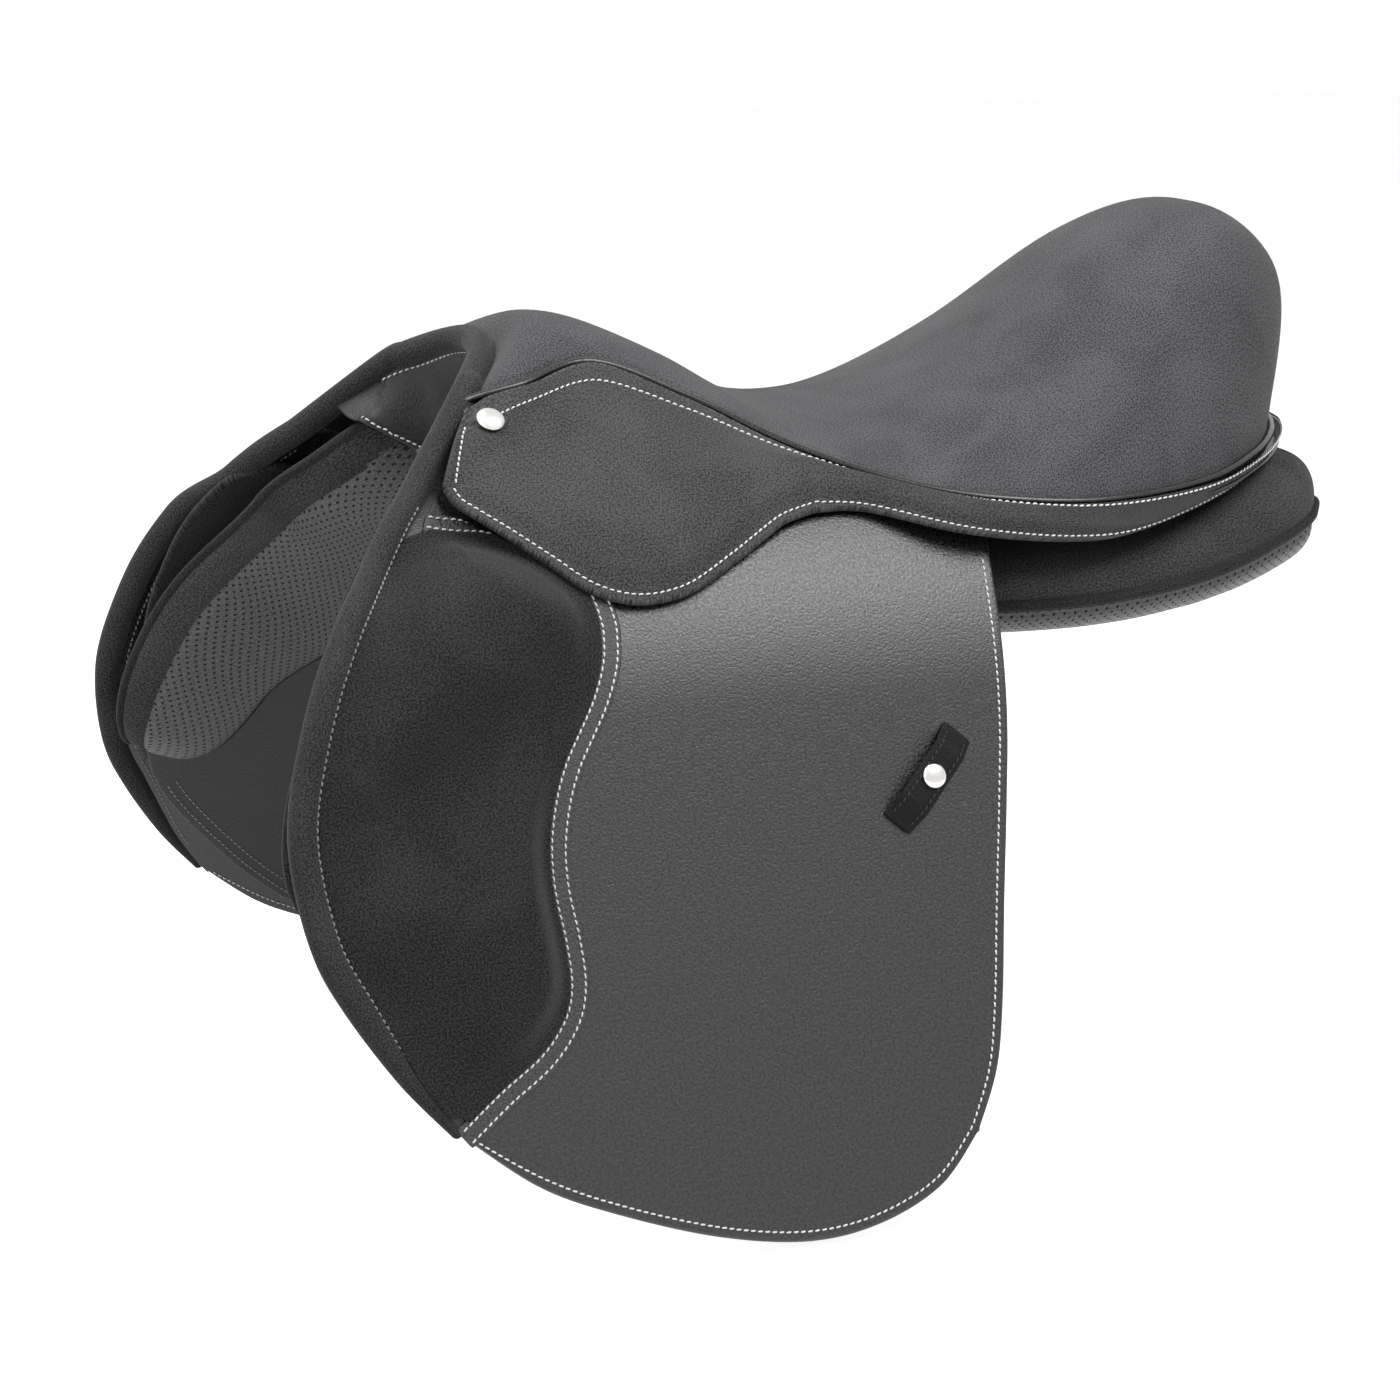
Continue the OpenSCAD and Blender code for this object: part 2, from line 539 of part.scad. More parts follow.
// Rolls: the padded front edge, from each flap's foot over the pommel
roll_sides = 10;
roll_end_share = 0.985;
pommel_start_share = 0.09;
flap_roll_path = [for (i = [0:22])
    let (q = at(roll_line, mix(roll_fold_share, roll_end_share, i / 22))) lay(q, roll_layer)];
function level_start(p, s) = [for (i = [0:len(p) - 1]) i == 0 ? lay([p[0][0], s], roll_layer) : p[i]];
module flap_roll() color(dark_suede)
    tube(level_start(flap_roll_path, fold_s + roll_r / 2), roll_r, roll_sides, [1, 0, 0]);
pommel_shares = [[0.032, 0.435, 0.6, 0], [0.05, 0.35, 0.683, 0], [0.073, 0.225, 0.772, 0],
    [0.086, 0.1, 0.826, 0], [0.09, 0, 0.838, 0]];
pommel_half = concat(
    [for (i = [0:8]) let (q = at(roll_line, mix(roll_fold_share, pommel_start_share, i / 8)))
        lay([q[0], i == 0 ? fold_s - roll_r / 2 : q[1]], roll_layer - dip(q[1]))],
    [for (q = pommel_shares) seat_at(q)]);
pommel_rings = 44;
pommel_path = [for (i = [0:pommel_rings])
    let (k = abs(2 * i / pommel_rings - 1), p = at(pommel_half, 1 - k))
    [p[0], (2 * i > pommel_rings ? 1 : -1) * p[1], p[2]]];
module pommel_roll() color(suede) tube(pommel_path, roll_r, roll_sides, [1, 0, 0]);

// Trim: the stitched strip along the knee pad's rear edge
trim_foot_share = 0.9;
function trim_q(u, v) = at(pad_trail, v * trim_foot_share) + [mix(fit, trim_w, u), 0];
function trim_grid(d) = [for (i = [0:16]) [for (j = [0, 1]) lay(trim_q(j, i / 16), pad_in + d)]];
module flap_trim() color(grained)
    shell(trim_grid(trim_t), trim_grid(0));

// Skirt

// Lower edge of the skirt's loose front, and of the fixed band behind it around the cantle
skirt_front_share = -0.02;
skirt_low_shares = [[-0.021, -0.953], [0.004, -0.849], [0.058, -0.642], [0.1, -0.497], [0.147, -0.439],
    [0.201, -0.47], [0.259, -0.59], [0.321, -0.735], [0.356, -0.787]];
skirt_rear_share = 0.356;
function skirt_pt(q) = [seat_x(q[0]), q[1] * skirt_fold_up];
skirt_edge_share = 0.5;
skirt_lead = line([seat_x(skirt_front_share), skirt_fold_s], skirt_pt(skirt_low_shares[0]));
skirt_trail = line([seat_x(skirt_rear_share), skirt_fold_s], skirt_pt(skirt_low_shares[8]));
skirt_hem = [for (q = skirt_low_shares) skirt_pt(q)];
function skirt_q(u, v) =
    patch(line(skirt_lead[0], skirt_trail[0]), skirt_hem, skirt_lead, skirt_trail, u, v);
// Thickness of the padding, thinner at the hem
function skirt_full(v) = skirt_t * mix(skirt_edge_share, 1, 1 - pow(v, 6));
function skirt_grid(full) = [for (i = [0:6]) [for (j = [0:14])
    lay(skirt_q(j / 14, i / 6), skirt_in + full * skirt_full(i / 6))]];
module skirt() color(suede) shell(skirt_grid(1), skirt_grid(0));

// Fixed band above the skirt's fold, from the welt down to the fold
band_fold_share = 0.36;
band_start_share = 0.004;
band_gap = welt_d + fit;
band_lean = 0.75;
band_low_lean = 0.6;
band_split = 3 * fit;
function band_top(t, d) = at(welt_pts, t) + band_gap * edge_out(t) - [0, 0, skirt_t]
    + d * unit(band_lean * edge_out(t) + [0, 0, 1]);
function band_fold(k, d) =
    lay([mix(skirt_lead[0][0], skirt_trail[0][0], k), skirt_fold_s - fold_gap], skirt_in + d);
function band_pt(u, v, d) =
    mix(band_top(mix(band_start_share, band_fold_share, u), d), band_fold(u, d), v);
function band_grid(d) = [for (i = [0:3]) [for (j = [0:10]) band_pt(j / 10, i / 3, d)]];
module skirt_band() color(suede) shell(band_grid(skirt_t), band_grid(0));

// Band behind the loose skirt, around the cantle: lower edge in shares of the seat's sizes
cantle_band_shares = [[0.51, 1.065, 0, -0.119], [0.62, 1.075, 0, -0.174], [0.7, 1.045, 0, -0.167],
    [0.83, 0.87, 0, -0.079], [0.93, 0.6, 0, 0.009], [0.985, 0.3, 0, 0.049], [1.005, 0.045, 0, 0.057]];
cantle_band_pts = concat([lay(skirt_hem[8], skirt_in)],
    [for (q = cantle_band_shares) seat_at(q)]);
function cantle_band_low(k, d) =
    let (e = at(cantle_band_pts, min(k + seat_step, 1)) - at(cantle_band_pts, max(k - seat_step, 0)),
        o = unit([-e[1], e[0], 0]))
    at(cantle_band_pts, k) + d * unit(o + [0, 0, band_low_lean * (1 - k)]);
function cantle_band_grid(d) = [for (i = [0:2]) [for (j = [0:16])
    mix(band_top(mix(band_fold_share, 1, j / 16), d), cantle_band_low(j / 16, d), i / 2)
        + [band_split * (1 - j / 16), 0, 0]]];
module cantle_band() color(suede) shell(cantle_band_grid(skirt_t), cantle_band_grid(0));

// Domed head, flat underneath
module dome_head(d, h) {
    r = (d * d / 4 + h * h) / (2 * h);
    intersection() {
        translate([0, 0, h - r]) sphere(r = r, $fn = 48);
        cylinder(d = d + over, h = h + over, $fn = 48);
    }
}

// Nail head at the front top corner of the skirt, square to the band that it holds
nail_shares = [0.11, 0.185];
nail_h_share = 0.25;
nail_step = 0.05;
nail_lift = 2 * fit;
module nail_head() color(steel) {
    u = nail_shares[0];
    v = nail_shares[1];
    along = band_pt(u + nail_step, v, skirt_t) - band_pt(u - nail_step, v, skirt_t);
    down = band_pt(u, v + nail_step, skirt_t) - band_pt(u, v - nail_step, skirt_t);
    out = unit(cross(along, down));
    translate(band_pt(u, v, skirt_t) + nail_lift * out)
        rotate([0, acos(out[2]), atan2(out[1], out[0])]) dome_head(nail_d, nail_d * nail_h_share);
}

// Keeper for the stirrup leather, with its stud
keeper_shares = [0.857, 0.164];
keeper_end = keeper_l / 5;
stud_h_share = 0.25;
module keeper_block(l, t) translate([0, 0, t / 2]) cube([l, keeper_w, t], center = true);
module on_keeper() {
    q = flap_pt(keeper_shares);
    on_flap(q[0], q[1], flap_out + fit) rotate([0, 0, -keeper_slant]) children();
}
module keeper() color(grained) on_keeper() difference() {
    keeper_block(keeper_l, keeper_gap + keeper_t);
    translate([0, 0, -over]) keeper_slot(keeper_gap + over);
}
module keeper_slot(h) translate([-(keeper_l / 2 - keeper_end), -keeper_w / 2 - over, 0])
    cube([keeper_l - 2 * keeper_end, keeper_w + 2 * over, h]);
module keeper_stud() color(steel) on_keeper()
    translate([0, 0, keeper_gap + keeper_t]) dome_head(stud_d, stud_d * stud_h_share);

// Underside

// Sweat flap between the girth straps and the panel
sweat_front_shares = [[0.2, -0.377], [0.13, -0.145], [0.075, 0.1], [0.07, 0.3], [0.1, 0.47], [0.21, 0.67],
    [0.3, 0.79]];
sweat_bottom_shares = [[0.3, 0.79], [0.45, 0.87], [0.6, 0.9], [0.73, 0.87], [0.82, 0.78]];
sweat_rear_shares = [[0.93, -0.377], [0.925, 0], [0.905, 0.25], [0.88, 0.5], [0.82, 0.78]];
module sweat_flap() color(grained)
    sheet(line(flap_pt(sweat_front_shares[0]), flap_pt(sweat_rear_shares[0])),
        flap_pts(sweat_bottom_shares), flap_pts(sweat_front_shares), flap_pts(sweat_rear_shares),
        10, 10, sweat_out, sweat_in);

// Knee block on the front of the sweat flap
block_front_shares = [[0.21, -0.392], [0.14, -0.145], [0.095, 0.05], [0.085, 0.2], [0.105, 0.36]];
block_rear_shares = [[0.33, -0.362], [0.3, -0.145], [0.255, 0.05], [0.215, 0.2], [0.19, 0.36]];
block_t = -flap_out - fit - sweat_out - strap_gap / 2;
block_edge_share = 0.3;
function block_q(u, v) = patch(line(flap_pt(block_front_shares[0]), flap_pt(block_rear_shares[0])),
    line(flap_pt(block_front_shares[4]), flap_pt(block_rear_shares[4])),
    flap_pts(block_front_shares), flap_pts(block_rear_shares), u, v);
function block_full(u, v) = (block_t - fit) * mix(block_edge_share, 1, swell(u, v));
function block_grid(full) = [for (i = [0:8]) [for (j = [0:6])
    lay(block_q(j / 6, i / 8), sweat_out + fit + full * block_full(j / 6, i / 8))]];
module knee_block() color(dark_suede) shell(block_grid(1), block_grid(0));

// Panel: a stuffed cushion from the front wing's tip, under the head and back to the cantle.
// Wing stations: place on the flap, depth below the sweat flap, half width and half thickness
wing_shares = [[0.098, 0.35, 0.05, 0.1, 0.1], [0.115, 0.28, 0.03, 0.24, 0.2],
    [0.145, 0.17, 0, 0.32, 0.25], [0.19, 0.03, 0, 0.34, 0.26], [0.245, -0.174, 0.03, 0.32, 0.26],
    [0.305, -0.42, 0.2, 0.28, 0.22], [0.36, -0.652, 0.37, 0.24, 0.18]];
// Stations under the head: place along the seat, turn about the arch, depth inside it, half width,
// half thickness and tilt of the bearing face
head_shares = [[0.11, 71, 0.203, 0.24, 0.18, 54], [0.195, 74.8, 0.219, 0.28, 0.24, 40],
    [0.3, 82.3, 0.145, 0.35, 0.33, 28]];
// Rear stations: place along the seat, out from the centre and up, then as under the head
bearing_shares = [[0.42, 0.944, 0.64, 0.43, 0.41, 19], [0.55, 0.999, 0.547, 0.48, 0.46, 14],
    [0.68, 1.007, 0.539, 0.5, 0.48, 12], [0.8, 0.944, 0.611, 0.47, 0.5, 10],
    [0.9, 0.834, 0.773, 0.41, 0.52, 8], [0.96, 0.724, 0.899, 0.33, 0.5, 6],
    [0.995, 0.676, 0.935, 0.2, 0.34, 6]];
panel_square = 0.78;
panel_sides = 16;
panel_rings = 40;
wing_rows = [for (q = wing_shares)
    let (p = flap_pt(q), b = q[4] * panel_t, c = lay(p, panel_out - q[2] * panel_t - b),
        a = slope(p[1]))
    concat(c, [q[3] * panel_w, b], [-cos(a), -sin(a)])];
function bearing_row(q, y, z) =
    [seat_x(q[0]), y, z, q[3] * panel_w, q[4] * panel_t, -sin(q[5]), -cos(q[5])];
// How far a station reaches out from its middle towards the flap, at a turn from the flap's slope
corner_share = 0.55;
function station_reach(q, turn) =
    q[4] * panel_t * cos(turn) + corner_share * q[3] * panel_w * abs(sin(turn));
// A station's middle inside the arch, and no further out than the inside of the tree's points
function head_row(q) =
    let (r = gullet_r - q[2] * panel_t, v = [r * sin(q[1]), gullet_z + r * cos(q[1])] - bend_c,
        a = atan2(v[1], v[0]), s = (splay - a) * PI / 180 * bend_r,
        most = bend_r + point_depth(s) - fit - station_reach(q, a - q[5]),
        p = bend_c + unit(v) * min(norm(v), most))
    bearing_row(q, p[0], p[1]);
head_rows = [for (q = head_shares) head_row(q)];
bearing_rows = [for (q = bearing_shares) bearing_row(q, q[1] * panel_y, q[2] * panel_t)];
panel_rows = concat(wing_rows, head_rows, bearing_rows);
function panel_c(t) = let (q = at(panel_rows, t)) [q[0], q[1], q[2]];
function panel_ring(t) =
    let (q = at(panel_rows, t), c = panel_c(t),
        e = unit(panel_c(min(t + seat_step, 1)) - panel_c(max(t - seat_step, 0))),
        b = unit(cross(e, [0, q[5], q[6]])), n = cross(b, e))
    [for (k = [0:panel_sides - 1]) let (a = 360 * k / panel_sides)
        c + q[3] * spow(cos(a), panel_square) * b + q[4] * spow(sin(a), panel_square) * n];
module panel() color(dark_suede) loft([for (i = [0:panel_rings]) panel_ring(i / panel_rings)]);

// Girth webs from the tree's points, and the straps sewn to them
strap_shares = [0.535, 0.755];
strap_pivot = 8;
strap_edge = 14;
strap_pitch = 23;
web_top_share = -0.595;
web_edge = 6;
web_steps = 14;
web_half = strap_w / 2 + web_edge;
web_sides = [flap_x(strap_shares[0]) - web_half, flap_x(strap_shares[1]) + web_half];
web_fit = 2 * fit;
function web_layer(s) = min(girth_web_out, -nail_sink(s) - flap_out - web_fit);
function girth_web_grid(d) = [for (i = [0:web_steps])
    let (s = mix(flap_s(web_top_share), strap_pivot + strap_w / 3, i / web_steps))
    [for (x = web_sides) lay([x, s], web_layer(s) - d)]];
module girth_web() color(webbing) shell(girth_web_grid(0), girth_web_grid(girth_web_t));
module girth_strap(k) color(black)
    on_flap(flap_x(strap_shares[k]), strap_pivot, strap_in) difference() {
        union() {
            cylinder(d = strap_w, h = strap_t, $fn = 48);
            translate([-strap_w / 2, 0, 0]) cube([strap_w, strap_l - strap_w / 2, strap_t]);
            translate([0, strap_l - strap_w / 2, 0]) cylinder(d = strap_w, h = strap_t, $fn = 48);
        }
        for (i = [0:strap_holes - 1]) translate([0, strap_l - strap_edge - i * strap_pitch, -over])
            cylinder(r = strap_hole_r, h = strap_t + 2 * over, $fn = 24);
    }

// Stirrup bar on the upper flap, with a thumb catch in its slotted rear end
bar_share = 0.2204;
bar_s_share = -0.576;
bar_s = flap_s(bar_s_share);
bar_overhang = 3;
bar_plate_l = bar_l + 2 * bar_overhang;
bar_plate_w = 16;
bar_fit = 3 * fit;
bar_layer = flap_out + bar_fit - min(nail_sink(bar_s - bar_plate_w / 2), nail_sink(bar_s + bar_plate_w / 2));
bar_axis = bar_plate_t + bar_gap + bar_r;
post_l = 9;
catch_t = 2.6;
catch_r_share = 0.9;
catch_r = bar_r * catch_r_share;
catch_l = 13;
catch_x = bar_l / 2 - bar_r;
slot_l_share = 2.4;
slot_l = bar_r * slot_l_share;
rivet_r = 2;
rivet_l = bar_plate_t + flap_t;
rivet_x_shares = [-0.1, 0.36];
module on_bar() {
    on_flap(seat_x(bar_share), bar_s, bar_layer) children();
}
module at_rivets() for (x = rivet_x_shares) translate([x * bar_plate_l, 0, 0]) children();
module stirrup_bar() color(steel) on_bar() difference() {
    union() {
        translate([-bar_plate_l / 2, -bar_plate_w / 2, 0]) cube([bar_plate_l, bar_plate_w, bar_plate_t]);
        translate([-bar_l / 2, 0, bar_axis]) rotate([0, 90, 0]) cylinder(r = bar_r, h = bar_l, $fn = 32);
        translate([-bar_l / 2, -bar_r, bar_plate_t]) cube([post_l, 2 * bar_r, bar_gap + bar_r]);
    }
    translate([bar_l / 2 - slot_l, -bar_r - over, bar_axis - catch_t / 2 - fit])
        cube([slot_l + over, 2 * (bar_r + over), catch_t + 2 * fit]);
    translate([catch_x, 0, bar_axis - bar_r - over])
        cylinder(r = pin_r, h = 2 * (bar_r + over), $fn = 24);
    at_rivets() translate([0, 0, -over]) cylinder(r = rivet_r, h = bar_plate_t + 2 * over, $fn = 24);
}
module catch_pin() on_bar() translate([catch_x, 0, bar_axis - bar_r])
    cylinder(r = pin_r, h = 2 * bar_r, $fn = 24);
module thumb_catch() color(steel) on_bar() translate([catch_x, 0, bar_axis - catch_t / 2]) difference() {
    union() {
        cylinder(r = catch_r, h = catch_t, $fn = 32);
        translate([-catch_r, -catch_l, 0]) cube([2 * catch_r, catch_l, catch_t]);
        translate([0, -catch_l, 0]) cylinder(r = catch_r, h = catch_t, $fn = 32);
    }
    translate([0, 0, -over]) cylinder(r = pin_r + run_fit, h = catch_t + 2 * over, $fn = 24);
}
// Flush rivets, through the plate and the upper flap
module rivets() on_bar() at_rivets()
    translate([0, 0, bar_plate_t - rivet_l]) cylinder(r = rivet_r, h = rivet_l, $fn = 24);
module catch_pins() color(steel) {
    catch_pin();
    near() catch_pin();
}
module bar_rivets() color(steel) {
    rivets();
    near() rivets();
}

tree();
near() tree_point();  // near_tree_point
tree_point();  // off_tree_point
gullet_plate();
gullet_screws();
near() stirrup_bar();  // near_stirrup_bar
stirrup_bar();  // off_stirrup_bar
near() thumb_catch();  // near_thumb_catch
thumb_catch();  // off_thumb_catch
catch_pins();
bar_rivets();
seat_web();
channel_lining();
seat_foam();
seat_cover();
seat_welt();
near() skirt_band();  // near_skirt_band
skirt_band();  // off_skirt_band
near() cantle_band();  // near_cantle_band
cantle_band();  // off_cantle_band
near() skirt();  // near_skirt
skirt();  // off_skirt
near() nail_head();  // near_nail_head
nail_head();  // off_nail_head
pommel_roll();
gullet_cover();
near() flap_top();  // near_flap_top
flap_top();  // off_flap_top
near() pad_top();  // near_pad_top
pad_top();  // off_pad_top
near() flap();  // near_flap
flap();  // off_flap
near() knee_pad();  // near_knee_pad
knee_pad();  // off_knee_pad
near() flap_roll();  // near_flap_roll
flap_roll();  // off_flap_roll
near() flap_trim();  // near_flap_trim
flap_trim();  // off_flap_trim
near() keeper();  // near_keeper
keeper();  // off_keeper
near() keeper_stud();  // near_keeper_stud
keeper_stud();  // off_keeper_stud
near() sweat_flap();  // near_sweat_flap
sweat_flap();  // off_sweat_flap
near() knee_block();  // near_knee_block
knee_block();  // off_knee_block
near() panel();  // near_panel
panel();  // off_panel
near() girth_web();  // near_girth_web
girth_web();  // off_girth_web
near() girth_strap(0);  // near_front_girth_strap
girth_strap(0);  // off_front_girth_strap
near() girth_strap(1);  // near_rear_girth_strap
girth_strap(1);  // off_rear_girth_strap
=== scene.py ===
# %% [markdown]
# # A jumping saddle
# The CAD frame gives every piece its size, place and joint. This lesson dresses it: soft suede over foam,
# grained flaps, piping, stitches and polished nails, each as a mesh of its own; most of them ride on their
# CAD bodies.

# %% Load the frame
import json
import math

import bmesh
import bpy
import numpy as np
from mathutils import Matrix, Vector
from mathutils.kdtree import KDTree

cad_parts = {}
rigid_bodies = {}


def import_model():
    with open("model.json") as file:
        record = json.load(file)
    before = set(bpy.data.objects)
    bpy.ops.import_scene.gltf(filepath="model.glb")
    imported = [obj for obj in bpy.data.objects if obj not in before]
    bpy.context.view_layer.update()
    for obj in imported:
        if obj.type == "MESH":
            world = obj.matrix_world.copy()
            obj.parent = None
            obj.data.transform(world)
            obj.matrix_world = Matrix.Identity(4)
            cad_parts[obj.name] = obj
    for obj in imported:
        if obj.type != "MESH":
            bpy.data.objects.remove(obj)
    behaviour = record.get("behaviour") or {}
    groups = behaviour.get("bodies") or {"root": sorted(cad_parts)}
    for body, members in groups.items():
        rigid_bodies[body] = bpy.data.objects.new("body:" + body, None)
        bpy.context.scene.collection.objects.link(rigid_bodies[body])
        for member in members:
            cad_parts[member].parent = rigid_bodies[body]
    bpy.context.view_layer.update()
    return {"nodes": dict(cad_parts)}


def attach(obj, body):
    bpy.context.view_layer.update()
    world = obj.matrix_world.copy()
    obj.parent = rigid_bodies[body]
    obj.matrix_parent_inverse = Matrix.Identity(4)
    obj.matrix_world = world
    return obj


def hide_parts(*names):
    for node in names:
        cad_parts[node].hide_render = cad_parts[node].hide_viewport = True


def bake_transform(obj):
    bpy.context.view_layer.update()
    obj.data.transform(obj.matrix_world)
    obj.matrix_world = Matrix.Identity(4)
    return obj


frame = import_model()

MM = 0.001

# %% [markdown]
# ## Curves and sheets
# A saddle is cut from flat leather and pulled over forms, so its pieces are sheets between smooth edge
# curves. One curve through a few points, one patch between four curves and one step that eases from
# 0 to 1 are enough for all of them. They work on whole grids of points at once, in millimetres.

# %% Curves and patches
UP = np.array([0, 0, 1.0])
STEP = 0.004


def mix(a, b, t):
    """From a to b, as t goes from 0 to 1."""
    return a * (1 - t) + b * t


def ease(a, b, v):
    """A smooth step, 0 where v is a and 1 where it is b."""
    t = np.clip((np.asarray(v, float) - a) / (b - a), 0, 1)
    return t * t * (3 - 2 * t)


def unit(v):
    return v / np.maximum(np.linalg.norm(v, axis=-1, keepdims=True), 1e-9)


def smooth(pick, n, t):
    """Places at t, from 0 to 1, of the smooth curve through n + 1 points that pick gives by number."""
    t = np.asarray(t, float) * n
    k = np.clip(np.floor(t).astype(int), 0, n - 1)
    f = (t - k)[..., None]
    a, b, c, d = (pick(np.clip(k + i, 0, n)) for i in (-1, 0, 1, 2))
    return (2 * b + (c - a) * f + (2 * a - 5 * b + 4 * c - d) * f ** 2 + (3 * b - a - 3 * c + d) * f ** 3) / 2


def curve(points, t):
    """Places at t of the smooth curve through the given points."""
    p = np.asarray(points, float)
    return smooth(lambda i: p[i], len(p) - 1, t)


def change(places, t):
    """How places, a function of t, moves about t."""
    return places(np.minimum(t + STEP, 1)) - places(np.maximum(t - STEP, 0))


def part_of(points, a, b, n):
    """A number of points along the stretch of a curve from a to b."""
    return curve(points, np.linspace(a, b, n))


def line(a, b):
    return np.stack([a, b])


def grid(rows, cols):
    """Row and column parameters of a grid, from 0 to 1."""
    return np.meshgrid(np.linspace(0, 1, rows), np.linspace(0, 1, cols), indexing="ij")


def patch(top, bottom, front, rear, u, v):
    """Points of the patch spanned by four edge curves."""
    across, down = u[..., None], v[..., None]
    sides = mix(curve(front, v), curve(rear, v), across)
    ends = mix(curve(top, u), curve(bottom, u), down)
    corners = mix(mix(top[0], top[-1], across), mix(bottom[0], bottom[-1], across), down)
    return sides + ends - corners


def inset(p, w):
    """A downward curve in the plane, moved w to its right."""
    t = unit(np.gradient(p, axis=0))
    return p + w * np.stack([t[:, 1], -t[:, 0]], -1)


def gap_to(q, edge):
    """Distance of each point of a grid from an edge curve."""
    pts = curve(edge, np.linspace(0, 1, 300))
    flat = q.reshape(-1, 1, q.shape[-1])
    return np.sqrt(((flat - pts) ** 2).sum(-1)).min(1).reshape(q.shape[:-1])


print("curve through a corner:", curve([(0, 0), (1, 0), (1, 1)], [0.25, 0.75]).round(3).tolist())

# %% [markdown]
# ## Meshes from grids
# Each piece of leather has two faces and a rounded rim, so a shell joins an outer and an inner grid by a
# half-round edge. Where one piece runs on into the next, that side is crisp: its rim is flat and its edge
# is marked sharp, and the two pieces then shade as one. UVs are in millimetres, so a pattern keeps its
# real size and bends with the leather.

# %% Mesh objects and shells


def put(name, data):
    """A new object in the scene."""
    obj = bpy.data.objects.new(name, data)
    bpy.context.scene.collection.objects.link(obj)
    return obj


def make(name, points, faces, material, uv=None, sharp=()):
    """A smooth mesh object from points in millimetres."""
    mesh = bpy.data.meshes.new(name)
    mesh.from_pydata((np.reshape(points, (-1, 3)) * MM).tolist(), [], faces)
    bm = bmesh.new()
    bm.from_mesh(mesh)
    bmesh.ops.recalc_face_normals(bm, faces=bm.faces)
    bm.to_mesh(mesh)
    bm.free()
    mesh.shade_smooth()
    if sharp:
        for edge in mesh.edges:
            edge.use_edge_sharp = tuple(sorted(edge.vertices)) in sharp
    if uv is not None:
        corners = np.empty(len(mesh.loops), int)
        mesh.loops.foreach_get("vertex_index", corners)
        mesh.uv_layers.new(name="UVMap").data.foreach_set("uv", np.reshape(uv, (-1, 2))[corners].ravel())
    mesh.materials.append(material)
    return put(name, mesh)


def lengths(points):
    """Length along each row of a grid of points."""
    steps = np.linalg.norm(np.diff(points, axis=-2), axis=-1)
    return np.concatenate([np.zeros_like(steps[..., :1]), np.cumsum(steps, -1)], -1)


def sheet_uv(points):
    """Millimetres along and across a grid of points."""
    return np.stack([lengths(points), lengths(np.swapaxes(points, 0, 1)).T], -1)


def shell(name, outer, inner, material, bulge=0.5, crisp="", uv=None, steps=6):
    """Closed skin between two grids; crisp names its flat sides out of t, b, l and r."""
    rows, cols = outer.shape[:2]
    n = rows * cols
    ids = np.arange(n).reshape(rows, cols)
    quads = np.stack([ids[:-1, :-1], ids[:-1, 1:], ids[1:, 1:], ids[1:, :-1]], -1).reshape(-1, 4)
    loop = np.concatenate([ids[0, :-1], ids[:-1, -1], ids[-1, :0:-1], ids[:0:-1, 0]])
    middle = (outer + inner) / 2
    away = np.zeros_like(middle)
    sharp = set()
    for side, edge, next_in in (("t", np.s_[0], np.s_[1]), ("b", np.s_[-1], np.s_[-2]),
                                ("l", np.s_[:, 0], np.s_[:, 1]), ("r", np.s_[:, -1], np.s_[:, -2])):
        if side in crisp:
            for a, b in zip(ids[edge][:-1], ids[edge][1:]):
                sharp |= {tuple(sorted((a, b))), tuple(sorted((a + n, b + n)))}
        else:
            away[edge] += unit(middle[edge] - middle[next_in])
    flat = lambda g: g.reshape(n, -1)[loop]
    across = flat(outer - inner)
    out = unit(flat(away)) * (np.linalg.norm(flat(away), axis=-1, keepdims=True) > 1e-6)
    out *= bulge * np.linalg.norm(across, axis=-1, keepdims=True)
    turns = np.pi * np.arange(1, steps) / steps
    rim = [flat(middle) + across / 2 * math.cos(a) + out * math.sin(a) for a in turns]
    m = len(loop)
    rings = [loop] + [2 * n + i * m + np.arange(m) for i in range(steps - 1)] + [loop + n]
    faces = quads.tolist() + (quads[:, ::-1] + n).tolist()
    for a, b in zip(rings, rings[1:]):
        faces += np.stack([a, np.roll(a, -1), np.roll(b, -1), b], -1).tolist()
    uv = sheet_uv(middle) if uv is None else uv
    uvs = np.concatenate([uv.reshape(n, 2)] * 2 + [uv.reshape(n, 2)[loop]] * (steps - 1))
    points = np.concatenate([outer.reshape(n, 3), inner.reshape(n, 3)] + rim)
    return make(name, points, faces, material, uvs, sharp)


print("lengths along a bent row:", lengths(np.array([(0, 0, 0), (3, 4, 0), (3, 4, 2)])).tolist())

# %% [markdown]
# Cords and rolls are round. A tube sets rings of points along a path, each ring turned as little as can be
# from the one before it, so that nothing twists.

# %% Tubes


def frames(path, ref):
    """Tangents and two cross directions along a path, without twist."""
    t = unit(np.gradient(path, axis=0))
    b = np.zeros_like(t)
    b[0] = unit(np.cross(t[0], ref))
    for i in range(1, len(t)):
        b[i] = unit(b[i - 1] - t[i] * (b[i - 1] @ t[i]))
    return t, b, np.cross(b, t)


def around(sides, e, f):
    """Directions around an axis, from two directions across it."""
    a = 2 * math.pi * np.arange(sides) / sides
    return np.cos(a)[:, None] * e + np.sin(a)[:, None] * f


def ring_faces(n, sides):
    """Faces that join n rings of points and close both ends."""
    ids = np.arange(n * sides).reshape(n, sides)
    after = np.roll(ids, -1, 1)
    faces = np.stack([ids[:-1], after[:-1], after[1:], ids[1:]], -1).reshape(-1, 4).tolist()
    return faces + [ids[0, ::-1].tolist(), ids[-1].tolist()]


CAP_RINGS = 5


